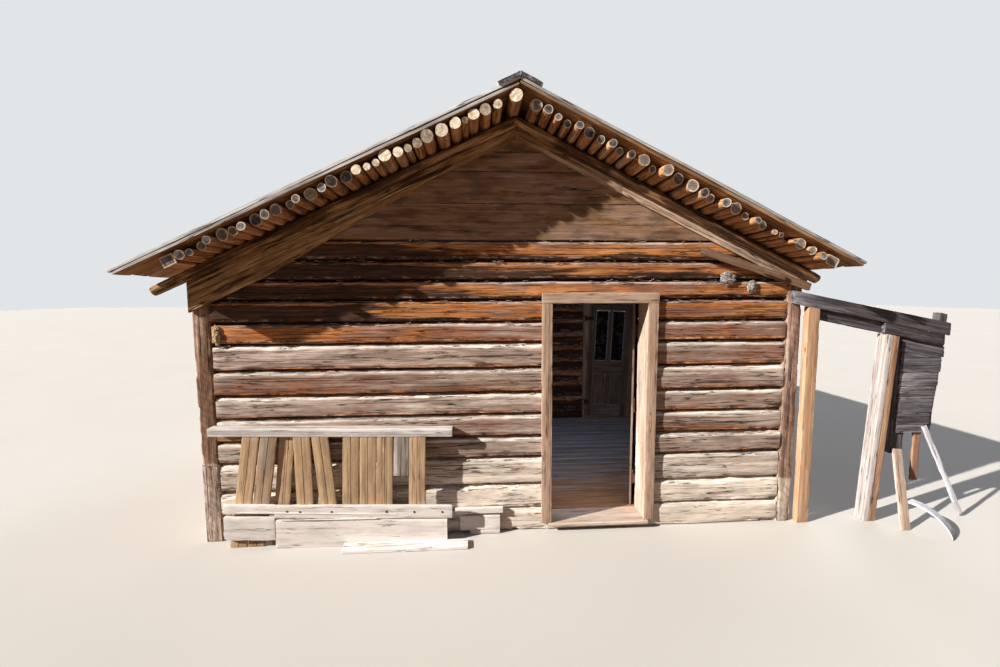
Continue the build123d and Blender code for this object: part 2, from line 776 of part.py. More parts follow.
board_front = shelf_front + shelf_nose
with BuildPart() as bench_boards:
    high_x, low_x = bench_start_high, bench_start_low
    for high_gap, low_gap, narrow, end_z, behind in bench_boards_laid:
        width = narrow_board_width if narrow else bench_board_width
        high_x += high_gap
        low_x += low_gap
        drift = (low_x - high_x) / (bench_high - bench_low)
        steep = drift * shelf_slope
        head_z = (shelf_top(high_x) - shelf_thickness - seat - steep * bench_high) / (1 - steep)
        head_x = high_x - drift * (head_z - bench_high)
        foot_x = high_x + drift * (bench_high - end_z)
        with BuildSketch(Plane.XZ.offset(-board_front - behind)) as outline:
            Polygon((head_x, head_z), (head_x + width, head_z - width * shelf_slope),
                    (foot_x + width, end_z), (foot_x, end_z), align=None)
        extrude(outline.sketch, amount=-bench_board_thickness)
        high_x += width
        low_x += width
save(bench_boards, "bench_boards")

plank_back = board_front - seat
plank_front = plank_back - base_plank_thickness
with BuildPart() as base_planks:
    falling_plank(base_top, base_joint_x, base_right, plank_front, base_plank_thickness, 0, base_strip_depth)
    falling_plank(base_top, base_joint_x, base_lower_right, plank_front, base_plank_thickness,
                  base_strip_depth + base_plank_gap, 0)
    falling_plank(base_top, base_left, base_joint_x - seat, plank_front, base_plank_thickness, 0,
                  left_strip_depth)
    falling_plank(base_top, base_left, base_joint_x - seat, plank_front, base_plank_thickness,
                  left_plank_drop, base_left_top - left_plank_drop - left_plank_bottom)
    for x0, x1, z0, z1 in set_back_planks:
        carrier = front_face if z1 < course_tops[0] else front_face - proud(1)
        block(x0, x1, carrier - seat - base_plank_thickness, carrier - seat, z0, z1)
    block(ground_plank_left, ground_plank_right, plank_front - seat - ground_plank_width, plank_front - seat,
          0, ground_plank_thickness)
save(base_planks, "base_planks")


def leaning_board(start, end, depth, y_front, thickness):
    """A board between two points of its centre line in the XZ plane."""
    (x0, z0), (x1, z1) = start, end
    length = sqrt((x1 - x0) ** 2 + (z1 - z0) ** 2)
    with BuildSketch(Plane.XZ.offset(-y_front)) as outline:
        with Locations(Location(((x0 + x1) / 2, (z0 + z1) / 2), degrees(atan2(z1 - z0, x1 - x0)))):
            Rectangle(length, depth)
    extrude(outline.sketch, amount=-thickness)


# Plank nailed over the right corner on the rake board, with a short piece on its face
corner_plank_back = front_face - log_unevenness - rake_thickness - seat
plank_head_x = half_width - corner_plank_head_inset
plank_foot_x = half_width + corner_plank_past
head = Vector(plank_head_x, bearing(plank_head_x) - corner_plank_head_drop)
foot = Vector(plank_foot_x, bearing(plank_foot_x) - corner_plank_foot_drop)
with BuildPart() as corner_plank:
    leaning_board((head.X, head.Y), (foot.X, foot.Y), corner_plank_width,
                  corner_plank_back - corner_plank_thickness, corner_plank_thickness)
    along = (foot - head).normalized()
    piece_start = head + along * corner_piece_start
    piece_end = piece_start + along * corner_piece_length
    leaning_board((piece_start.X, piece_start.Y), (piece_end.X, piece_end.Y), corner_piece_width,
                  corner_plank_back - 2 * corner_plank_thickness - seat, corner_plank_thickness)
save(corner_plank, "corner_plank")

# Lean-to: a sloping header from the corner post, a lapped board under its outer end,
# a beam behind it, a new prop beside the cabin, a leaning jamb, and a panel of boards
header_front = front_face - seat - header_thickness
header_fall = tan(radians(header_slope))
header_plumb = header_depth / cos(radians(header_slope))
lapped_plumb = lapped_depth / cos(radians(header_slope))
header_start = bearing(half_width) - header_under_eave
backing_front = front_face + seat
prop_left = half_width + prop_gap
prop_right = prop_left + prop_width
header_right = half_width + header_reach
jamb_head_x = half_width + jamb_head_reach
panel_left = jamb_head_x + lean_jamb_width / 2 + panel_gap
panel_foot_right = half_width + panel_foot_reach
back_board_x = panel_left + back_board_width / 2 - panel_gap / 3


def header_top(x):
    return header_start - (x - half_width) * header_fall


def along_header(x0, x1, drop, plumb_depth, y_front, thickness):
    """A board cut plumb at both ends, a given drop under the header's top edge."""
    with BuildSketch(Plane.XZ.offset(-y_front)) as outline:
        Polygon(
            (x0, header_top(x0) - drop), (x1, header_top(x1) - drop),
            (x1, header_top(x1) - drop - plumb_depth), (x0, header_top(x0) - drop - plumb_depth), align=None,
        )
    extrude(outline.sketch, amount=-thickness)


def post_under_header(foot_x, head_x, foot_z, drop, width, y_front, thickness):
    """A post from a level foot to a head cut to the header's slope."""
    half = width / 2
    head = [(x, header_top(x) - drop) for x in (head_x + half, head_x - half)]
    with BuildSketch(Plane.XZ.offset(-y_front)) as outline:
        Polygon((foot_x - half, foot_z), (foot_x + half, foot_z), *head, align=None)
    extrude(outline.sketch, amount=-thickness)


with BuildPart() as leanto_header:
    along_header(half_width - header_lap, header_right, 0, header_plumb, header_front, header_thickness)
    along_header(half_width + lapped_start, header_right - lapped_short, header_plumb + seat, lapped_plumb,
                 header_front, header_thickness)
save(leanto_header, "leanto_header")

with BuildPart() as leanto_beam:
    along_header(prop_right + seat, back_board_x - back_board_width / 2 - seat, header_plumb - beam_rise,
                 header_plumb, backing_front, beam_thickness)
save(leanto_beam, "leanto_beam")

with BuildPart() as leanto_prop:
    prop_x = prop_left + prop_width / 2
    post_under_header(prop_x, prop_x, 0, header_plumb + seat, prop_width, header_front, beam_thickness)
save(leanto_prop, "leanto_prop")

# The leaning jamb is a post with a board on its face
below_lapped = header_plumb + lapped_plumb + 2 * seat
jamb_board_front = header_front - lean_jamb_proud
with BuildPart() as leanto_jamb:
    post_under_header(half_width + jamb_foot_reach, jamb_head_x, 0, below_lapped, lean_jamb_width,
                      jamb_board_front, lean_jamb_board)
    post_under_header(half_width + jamb_foot_reach, jamb_head_x, 0, below_lapped, lean_jamb_width,
                      jamb_board_front + lean_jamb_board + seat, lean_jamb_depth)
save(leanto_jamb, "leanto_jamb")

# Behind the panel: a wide board that hangs from the header, and a leaning batten that stands over its end
end_batten_x = header_right - end_batten_width / 2 + end_batten_past
with BuildPart() as leanto_battens:
    post_under_header(back_board_x, back_board_x, back_board_bottom, beam_rise, back_board_width,
                      backing_front, beam_thickness)
    post_under_header(half_width + end_batten_foot_reach, end_batten_x, end_batten_bottom, -end_batten_rise,
                      end_batten_width, backing_front, beam_thickness)
save(leanto_battens, "leanto_battens")

with BuildPart() as leanto_panel:
    for count, (z0, z1) in enumerate(zip(panel_joints, panel_joints[1:])):
        block(panel_left, panel_foot_right + panel_step * count, front_face - panel_board_thickness,
              front_face, z0, z1 - panel_joint_gap)
    with BuildSketch(Plane.XZ.offset(-header_front)) as keep:
        Polygon((0, 0), (header_right, 0), (header_right, header_top(header_right) - below_lapped),
                (0, header_top(0) - below_lapped), align=None)
    extrude(keep.sketch, amount=-2 * header_thickness, mode=Mode.INTERSECT)
save(leanto_panel, "leanto_panel")


def propped_board(head, foot, width, thickness):
    """A board from a head to a foot on the ground, its foot cut level."""
    along = (foot - head).normalized()
    across = (Vector(1, 0, 0) - along * along.X).normalized()
    with BuildSketch(Plane(origin=head, x_dir=across, z_dir=along)) as section:
        Rectangle(width, thickness)
    extrude(section.sketch, amount=(foot - head).length + width)
    reach = 2 * house_width
    block(-reach, reach, -reach, reach, -reach, 0, mode=Mode.SUBTRACT)


# Loose boards: one propped against the back board, one hanging behind the panel, a brace from the
# panel's corner, and a bowed plank whose upper end lies against the propped one
lean_out = tan(radians(prop_board_lean))
prop_head_y = backing_front - seat - brace_thickness / 2 * cos(radians(prop_board_lean)) - prop_board_gap
prop_head = Vector(half_width + prop_board_head_reach, prop_head_y, prop_board_head_z)
prop_foot = Vector(half_width + prop_board_foot_reach, prop_head_y - prop_board_head_z * lean_out, 0)
share = (prop_board_head_z - bowed_plank_rise) / prop_board_head_z
rest = prop_head + (prop_foot - prop_head) * share
turn = radians(bowed_plank_turn)
bowed_start = (
    rest.X + prop_board_width / 2 + bowed_plank_width / 2 * sin(turn) + 2 * seat,
    rest.Y + bowed_plank_width / 2 * cos(turn),
    0,
)
with BuildPart() as leanto_braces:
    propped_board(prop_head, prop_foot, prop_board_width, brace_thickness)
    hanging_x, hanging_top = panel_foot_right - hanging_board_inset, panel_joints[1]
    leaning_board((hanging_x, hanging_top), (hanging_x, hanging_top - hanging_board_length),
                  hanging_board_width, backing_front, brace_thickness)
    brace_head = panel_foot_right - brace_head_inset, brace_head_z
    brace_foot = half_width + brace_foot_reach, brace_foot_z
    leaning_board(brace_head, brace_foot, brace_width,
                  front_face - panel_board_thickness - brace_thickness - seat, brace_thickness)
    upper_start, upper_end = (0, bowed_plank_rise), (bowed_plank_reach, bowed_plank_thickness)
    lower_start, lower_end = (0, bowed_plank_rise - bowed_plank_thickness), (bowed_plank_reach, 0)
    with BuildSketch(Plane(origin=bowed_start, x_dir=(cos(turn), -sin(turn), 0),
                           z_dir=(-sin(turn), -cos(turn), 0))) as bowed:
        with BuildLine():
            SagittaArc(upper_start, upper_end, bowed_plank_sag)
            Line(upper_end, lower_end)
            SagittaArc(lower_end, lower_start, -bowed_plank_sag)
            Line(lower_start, upper_start)
        make_face()
    extrude(bowed.sketch, amount=bowed_plank_width / 2, both=True)
save(leanto_braces, "leanto_braces")
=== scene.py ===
import json
import zlib
from dataclasses import dataclass, field, replace
from math import cos, pi, radians, sin

import bmesh
import bpy
import numpy as np
from mathutils import Matrix, Vector


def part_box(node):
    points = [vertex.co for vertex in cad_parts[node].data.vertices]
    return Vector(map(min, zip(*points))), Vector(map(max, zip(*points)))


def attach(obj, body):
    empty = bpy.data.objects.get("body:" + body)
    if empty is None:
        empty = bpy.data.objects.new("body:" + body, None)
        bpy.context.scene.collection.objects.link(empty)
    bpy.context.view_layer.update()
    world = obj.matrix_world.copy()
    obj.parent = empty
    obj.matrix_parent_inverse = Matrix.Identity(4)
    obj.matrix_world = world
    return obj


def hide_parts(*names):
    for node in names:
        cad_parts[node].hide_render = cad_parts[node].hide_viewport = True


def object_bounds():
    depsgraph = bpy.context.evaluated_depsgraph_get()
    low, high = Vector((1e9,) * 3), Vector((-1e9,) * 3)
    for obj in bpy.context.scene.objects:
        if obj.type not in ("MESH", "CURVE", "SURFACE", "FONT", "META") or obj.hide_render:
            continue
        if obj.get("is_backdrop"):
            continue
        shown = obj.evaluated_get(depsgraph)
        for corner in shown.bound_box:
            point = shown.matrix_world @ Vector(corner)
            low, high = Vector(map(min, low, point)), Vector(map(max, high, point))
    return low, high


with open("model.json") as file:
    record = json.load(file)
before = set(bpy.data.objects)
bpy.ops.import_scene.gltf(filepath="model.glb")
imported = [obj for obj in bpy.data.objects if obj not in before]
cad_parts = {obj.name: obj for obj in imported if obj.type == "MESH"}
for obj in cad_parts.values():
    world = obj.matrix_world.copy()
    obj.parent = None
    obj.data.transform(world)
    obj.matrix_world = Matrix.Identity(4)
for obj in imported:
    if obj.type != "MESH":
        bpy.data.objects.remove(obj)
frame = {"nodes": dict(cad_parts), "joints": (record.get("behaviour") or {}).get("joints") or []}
cad_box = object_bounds()

# The photograph's viewing angle, in metres and degrees
CAMERA_AT = (-0.345, -4.123, 2.21)
CAMERA_YAW = 3.65
CAMERA_PITCH = 5.25
CAMERA_ROLL = -0.2
CAMERA_LENS = 16.38
SENSOR_WIDTH = 36.0

# Light: a soft sun from the front left, a weak one from behind, and an even sky
SUN_TRAVEL = (2.75, 1.0, -1.53)
SUN_STRENGTH = 7.4
SUN_ANGLE = 0.8
SUN_COLOUR = (255, 250, 243)
FILL_TRAVEL = (-1.2, -1.6, -1.3)
FILL_STRENGTH = 1.1
FILL_ANGLE = 40.0
FILL_COLOUR = (238, 244, 255)
SKY_STRENGTH = 0.13
SKY_COLOUR = (240, 244, 255)
BACKDROP_COLOUR = (226, 229, 232)
BOUNCE_COLOUR = (132, 108, 90)
ROOM_LIGHT = 9.0
ROOM_LIGHT_SIZE = (0.8, 1.7)
ROOM_LIGHT_TRAVEL = (0, 1, -0.35)
ROOM_COLOUR = (226, 234, 255)

# Tolerances, in metres, between numbers of the frame that count as one
TOUCH = 1e-4
SEPARATE = 5e-4
BREAK = 2e-4

# A face shows where its normal leans this far towards the outside
SHOWS = 0.3
FRONT, BACK = np.array((0.0, -1, 0)), np.array((0.0, 1, 0))
LEFT, RIGHT = np.array((-1.0, 0, 0)), np.array((1.0, 0, 0))


def linear(colour):
    """A colour written as 0 to 255 screen values, as the linear colour that a shader takes."""
    out = []
    for value in colour:
        c = value / 255
        out.append(c / 12.92 if c <= 0.04045 else ((c + 0.055) / 1.055) ** 2.4)
    return (*out, 1.0)


# Seeded noise for the shapes

def lattice(ix, iy, iz, seed):
    """A number from 0 to 1 for each whole-number corner, always the same for one seed."""
    mask = 0xFFFFFFFF
    h = (ix * 374761393 + iy * 668265263 + iz * 1440670441 + seed * 974711) & mask
    h = ((h ^ (h >> 13)) * 1274126177) & mask
    return ((h ^ (h >> 16)) & 0xFFFF) / 0xFFFF


def noise(points, scales, seed, octaves=1):
    """Smooth noise from -1 to 1 at each point, stretched by a scale in metres for each axis."""
    total, size, weight, whole = 0.0, 1.0, 1.0, 0.0
    for octave in range(octaves):
        q = points * size / np.array(scales)
        cell = np.floor(q).astype(np.int64)
        f = q - cell
        f = f * f * (3 - 2 * f)
        value = 0.0
        for corner in range(8):
            step = (corner & 1, corner >> 1 & 1, corner >> 2)
            share = 1.0
            for axis in range(3):
                share = share * (f[..., axis] if step[axis] else 1 - f[..., axis])
            value = value + share * lattice(
                cell[..., 0] + step[0], cell[..., 1] + step[1], cell[..., 2] + step[2], seed + octave)
        total = total + weight * (2 * value - 1)
        whole += weight
        size *= 2.1
        weight *= 0.5
    return total / whole


def line_noise(s, scale, seed):
    """Smooth noise from -1 to 1 along one number."""
    points = np.zeros(np.shape(s) + (3,))
    points[..., 0] = s
    points[..., 1] = 0.37 * scale
    return noise(points, (scale, scale, scale), seed)


def seed_of(name):
    return zlib.crc32(name.encode()) % 100000


# The solids of a node of the frame

def solids_of(node):
    """Each solid of a node as (points, triangles), with its corners welded."""
    mesh = frame["nodes"][node].data
    mesh.calc_loop_triangles()
    points = np.empty(len(mesh.vertices) * 3)
    mesh.vertices.foreach_get("co", points)
    triangles = np.empty(len(mesh.loop_triangles) * 3, int)
    mesh.loop_triangles.foreach_get("vertices", triangles)
    points, index = np.unique(np.round(points.reshape(-1, 3), 6), axis=0, return_inverse=True)
    triangles = index.reshape(-1)[triangles].reshape(-1, 3)
    owner = list(range(len(points)))

    def root(i):
        while owner[i] != i:
            owner[i] = owner[owner[i]]
            i = owner[i]
        return i

    for a, b, c in triangles:
        ra = root(a)
        owner[root(b)] = ra
        owner[root(c)] = root(a)
    groups = {}
    for number, triangle in enumerate(triangles):
        groups.setdefault(root(triangle[0]), []).append(number)
    parts = []
    for group in groups.values():
        used, local = np.unique(triangles[group], return_inverse=True)
        parts.append((points[used], local.reshape(-1, 3)))
    parts.sort(key=lambda part: tuple(np.round(part[0].mean(0), 3)))
    return parts


def planes_of(points, triangles):
    """Outward normals and offsets of a solid's faces, and the direction of its longest true edge."""
    a, b, c = (points[triangles[:, k]] for k in range(3))
    normals = np.cross(b - a, c - a)
    area = np.linalg.norm(normals, axis=1)
    keep = area > 1e-9
    normals = normals[keep] / area[keep][:, None]
    kept = triangles[keep]
    offsets = (normals * points[kept[:, 0]]).sum(1)
    edges = {}
    for face, triangle in enumerate(kept):
        for k in range(3):
            edge = tuple(sorted((triangle[k], triangle[(k + 1) % 3])))
            edges.setdefault(edge, []).append(face)
    longest, axis = 0.0, np.array((1.0, 0, 0))
    for (i, j), faces in edges.items():
        if len(faces) == 2 and normals[faces[0]] @ normals[faces[1]] > 0.999:
            continue
        along = points[j] - points[i]
        length = np.linalg.norm(along)
        if length > longest * 1.001:
            longest, axis = length, along / length
    if axis[np.argmax(np.abs(axis))] < 0:
        axis = -axis
    return normals, offsets, axis


def across(axis):
    """Two directions square to an axis: one to the side, one up where the axis is not upright."""
    up = np.array((0.0, 0, 1)) if abs(axis[2]) < 0.8 else np.array((0.0, 1, 0))
    up = up - axis * (up @ axis)
    up /= np.linalg.norm(up)
    return np.cross(up, axis), up


def hull(flat):
    """Corners of the outline round 2-D points, counter-clockwise, without points on its sides."""
    flat = flat[np.lexsort((flat[:, 1], flat[:, 0]))]
    chains = []
    for run in (flat, flat[::-1]):
        chain = []
        for p in run:
            while len(chain) > 1:
                d, e = chain[-1] - chain[-2], p - chain[-2]
                if d[0] * e[1] - d[1] * e[0] > 1e-7:
                    break
                chain.pop()
            chain.append(p)
        chains += chain[:-1]
    corners = np.array(chains)
    apart = np.linalg.norm(corners - np.roll(corners, 1, axis=0), axis=1) > 0.0008
    return corners[apart]


class Loop:
    """The points round a section: places, outward normals, edge share and the cracks cut in it."""

    def __init__(self):
        self.places, self.normals, self.edge, self.crack, self.side = [], [], [], [], []

    def put(self, place, normal, edge, crack=-1, side=0.0):
        self.places.append(place)
        self.normals.append(normal)
        self.edge.append(edge)
        self.crack.append(crack)
        self.side.append(side)

    def close(self):
        for name in ("places", "normals", "edge", "crack", "side"):
            setattr(self, name, np.array(getattr(self, name), float))
        return self


def round_loop(corners, count):
    loop = Loop()
    centre = corners.mean(0)
    radius = np.linalg.norm(corners - centre, axis=1).mean()
    for k in range(count):
        turn = 2 * pi * k / count
        normal = np.array((cos(turn), sin(turn)))
        loop.put(centre + radius * normal, normal, 1.0)
    return loop.close()


def cornered_loop(corners, step_for, fillet, cracks):
    """Resamples an outline: rounded corners, and three points where each crack runs."""
    loop = Loop()
    count = len(corners)
    for k in range(count):
        before, here, after = corners[k - 1], corners[k], corners[(k + 1) % count]
        into, out = here - before, after - here
        reach_in, reach_out = np.linalg.norm(into), np.linalg.norm(out)
        into, out = into / reach_in, out / reach_out
        cut = min(fillet, 0.3 * reach_in, 0.3 * reach_out)
        n_in, n_out = np.array((into[1], -into[0])), np.array((out[1], -out[0]))
        for t in (0.0, 0.5, 1.0):
            p = (1 - t) ** 2 * (here - cut * into) + 2 * t * (1 - t) * here + t * t * (here + cut * out)
            n = (1 - t) * n_in + t * n_out
            loop.put(p, n / np.linalg.norm(n), 1.0)
        length = reach_out - cut - min(fillet, 0.3 * reach_out,
                                       0.3 * np.linalg.norm(corners[(k + 2) % count] - after))
        step = step_for(n_out)
        inner = max(1, round(length / step))
        marks = [(length * i / inner, -1, 0.0) for i in range(1, inner)]
        for number, (normal, share, width) in enumerate(cracks):
            if normal @ n_out > 0.95 and length > 6 * width:
                middle = length * share
                marks = [m for m in marks if m[1] >= 0 or abs(m[0] - middle) > 2.6 * width]
                marks += [(middle + side * width, number, side) for side in (-1.0, 0.0, 1.0)]
        marks.sort()
        start = here + cut * out
        fade = min(0.022, 0.3 * reach_out)
        for distance, number, side in marks:
            near = min(distance, length - distance)
            loop.put(start + distance * out, n_out, max(0.0, 1 - near / fade), crack=number, side=side)
    return loop.close()


def placed(name, data):
    """A new object of the scene for a mesh, a lamp or the camera."""
    made = bpy.data.objects.new(name, data)
    bpy.context.scene.collection.objects.link(made)
    return made


class Piece:
    """Collects timbers into one mesh, with the attributes that the wood shaders read."""

    def __init__(self):
        self.points, self.faces, self.counts, self.material = [], [], [], []
        self.grain, self.wear, self.total = [], [], 0

    def add(self, points, grain, wear, faces, material):
        for face, number in zip(faces, material):
            self.faces.append((face + self.total).reshape(-1))
            self.counts.append(np.full(len(face), face.shape[1]))
            self.material.append(np.full(len(face), number))
        self.points.append(points)
        self.grain.append(grain)
        self.wear.append(wear)
        self.total += len(points)

    def build(self, name, materials, body, slot, nodes=()):
        mesh = bpy.data.meshes.new(name)
        points = np.concatenate(self.points)
        loops = np.concatenate(self.faces)
        counts = np.concatenate(self.counts)
        mesh.vertices.add(len(points))
        mesh.vertices.foreach_set("co", points.astype(np.float32).ravel())
        mesh.loops.add(len(loops))
        mesh.loops.foreach_set("vertex_index", loops.astype(np.int32))
        mesh.polygons.add(len(counts))
        mesh.polygons.foreach_set("loop_start", (np.cumsum(counts) - counts).astype(np.int32))
        mesh.polygons.foreach_set("material_index", np.concatenate(self.material).astype(np.int32))
        mesh.update(calc_edges=True)
        for title, values in (("grain", self.grain), ("wear", self.wear)):
            attribute = mesh.attributes.new(title, "FLOAT_VECTOR", "POINT")
            attribute.data.foreach_set("vector", np.concatenate(values).astype(np.float32).ravel())
        for material in materials:
            mesh.materials.append(material)
        mesh.validate()
        mesh.shade_smooth()
        mesh.set_sharp_from_angle(angle=radians(38))
        piece = placed(name, mesh)
        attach(piece, body)
        if nodes:
            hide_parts(*nodes)


@dataclass
class Style:
    """How a kind of timber is cut and worn, in metres; two shares also make its top paler and its under edge
    browner, partly as painted light.
    """
    along: float
    around: float
    hidden: float = 0.05
    fillet: float = 0.004
    rough: float = 0.001
    rough_scale: tuple = (0.4, 0.08, 0.08)
    fine: float = 0.0005
    edge: float = 0.002
    cracks: float = 0.0
    depth: float = 0.006
    crack_width: float = 0.0016
    chamfer: float = 0.002
    bow: float = 0.002
    tilt: float = 0.0
    flats: int = 20
    pith: tuple = (0.0, -0.09)
    undercut: float = 0.0
    broad: float = 0.0
    edge_light_and_age: float = 0.0
    grooves: tuple = ()
    groove_depth: float = 0.004
    groove_face: np.ndarray = field(default_factory=lambda: FRONT)
    chips: float = 0.0
    rise_light_and_age: float = 0.0
    tight: bool = False
    ends: float = 0.0

    def coarser(self, times):
        """The same wear on a mesh with longer steps."""
        return replace(self, along=times * self.along, around=times * self.around,
                       hidden=times * self.hidden)


LOG_FRONT = Style(0.031, 0.0125, hidden=0.036, fillet=0.005, rough=0.0045, rough_scale=(0.34, 0.070, 0.070),
                  fine=0.0020, edge=0.005, cracks=1.3, depth=0.020, crack_width=0.0026, chamfer=0.004,
                  bow=0.004, pith=(0, 0), undercut=0.010, broad=0.003, edge_light_and_age=0.40, chips=0.018, rise_light_and_age=0.16)
LOG_SIDE = replace(LOG_FRONT, along=0.040, around=0.020, hidden=0.030, fillet=0.007, rough=0.0050,
                   edge=0.008, cracks=1.0, depth=0.018, crack_width=0.0040, broad=0.005, edge_light_and_age=0.35,
                   chips=0.014, rise_light_and_age=0.14)
SILL = Style(0.044, 0.022, hidden=0.040, fillet=0.018, rough=0.0060, rough_scale=(0.32, 0.070, 0.070),
             fine=0.0024, edge=0.012, cracks=1.0, depth=0.018, crack_width=0.0040, chamfer=0.004,
             pith=(0, 0), broad=0.005, chips=0.012)
POST = Style(0.022, 0.012, fillet=0.008, rough=0.0035, rough_scale=(0.30, 0.05, 0.05), fine=0.0018,
             edge=0.006, cracks=1.8, depth=0.016, crack_width=0.0028, bow=0.003, pith=(0, 0), broad=0.004,
             chips=0.008)
POLE = Style(0.050, 0.02, rough=0.0030, rough_scale=(0.20, 0.05, 0.05), fine=0.0014, chamfer=0.0035,
             bow=0.012, tilt=0.24, flats=18, pith=(0, 0), ends=0.36)
RAFTER = Style(0.030, 0.02, rough=0.0040, rough_scale=(0.22, 0.05, 0.05), fine=0.0014, chamfer=0.004,
               bow=0.007, tilt=0.05, flats=30, pith=(0, 0))
FACE = Style(0.022, 0.012, fillet=0.0035, rough=0.0012, fine=0.0007, edge=0.0030, cracks=0.6, depth=0.005,
             bow=0.0, grooves=(0.5,), groove_depth=0.010)
BOARD = Style(0.040, 0.022, fillet=0.003, fine=0.0006, edge=0.0018, cracks=0.5, depth=0.004,
              crack_width=0.0014)
FLOOR = replace(BOARD, along=0.24, around=0.06)
GABLE = Style(0.032, 0.018, rough=0.0016, rough_scale=(0.5, 0.10, 0.10), fine=0.0006, edge=0.0060,
              cracks=0.5, chips=0.005, tight=True)
PANEL = Style(0.022, 0.014, rough=0.0013, fine=0.0007, edge=0.0055, cracks=0.6, crack_width=0.0015,
              chips=0.004, tight=True)
SAWN = Style(0.028, 0.016, fillet=0.0035, rough=0.0013, fine=0.0007, edge=0.0030, cracks=0.8,
             crack_width=0.0015, bow=0.003, chips=0.004)
CAP = replace(SAWN, along=0.05, around=0.03)
SPLIT = Style(0.022, 0.014, fillet=0.0035, rough=0.0015, fine=0.0008, edge=0.0030, cracks=0.8,
              crack_width=0.0018, bow=0.003, grooves=(0.28, 0.62), groove_depth=0.010, groove_face=LEFT)
BENCH = Style(0.022, 0.012, hidden=0.04, rough=0.0015, fine=0.0008, edge=0.003, cracks=0.4, depth=0.005,
              crack_width=0.0018, bow=0.003, grooves=(0.5,), groove_depth=0.007)
SHELF = replace(BENCH, around=0.010, fillet=0.005, cracks=0.3, grooves=(0.36, 0.80), groove_depth=0.008)
ROOF = Style(0.17, 0.045, hidden=0.08, fillet=0.003, rough=0.0022, fine=0.0008, edge=0.004, cracks=0.35,
             depth=0.004, crack_width=0.002, bow=0.006, tilt=0.14)
PLAIN = Style(0.10, 0.03, fillet=0.003, rough=0.0008, fine=0.0004, edge=0.0010, bow=0.001)
GROOVE_HALF_WIDTH = 0.0035
UNSEEN_TIMES = 2.0
END_ROUNDS = (0.72, 0.36)


def stations(length, step, fine_ends=0.0):
    """Shares from 0 to 1 along a timber; poles have close ones near both ends only."""
    if fine_ends and length > 3 * fine_ends:
        head = np.arange(0, fine_ends, step) / length
        middle = np.linspace(fine_ends / length, 1 - fine_ends / length,
                             int((length - 2 * fine_ends) / (6 * step)) + 2)
        return np.concatenate([head, middle, 1 - head[::-1]])
    return np.linspace(0, 1, max(3, int(length / step) + 1))


def in_space(flat, side, up):
    """A direction in the section, as one in space."""
    return flat[..., :1] * side + flat[..., 1:] * up


def flat_noise(flat, scale, seed):
    """Smooth noise over places in the section."""
    x, y = flat[None, :, 0], flat[None, :, 1]
    return noise(np.dstack([x, y, x * 0]), (scale, scale, scale), seed)[0]


def step_chooser(style, side, up, outside):
    """The spacing of points round a section: longer on faces that don't show."""
    def step_for(normal):
        if outside is None or in_space(normal, side, up) @ outside > SHOWS:
            return style.around
        return style.hidden
    return step_for


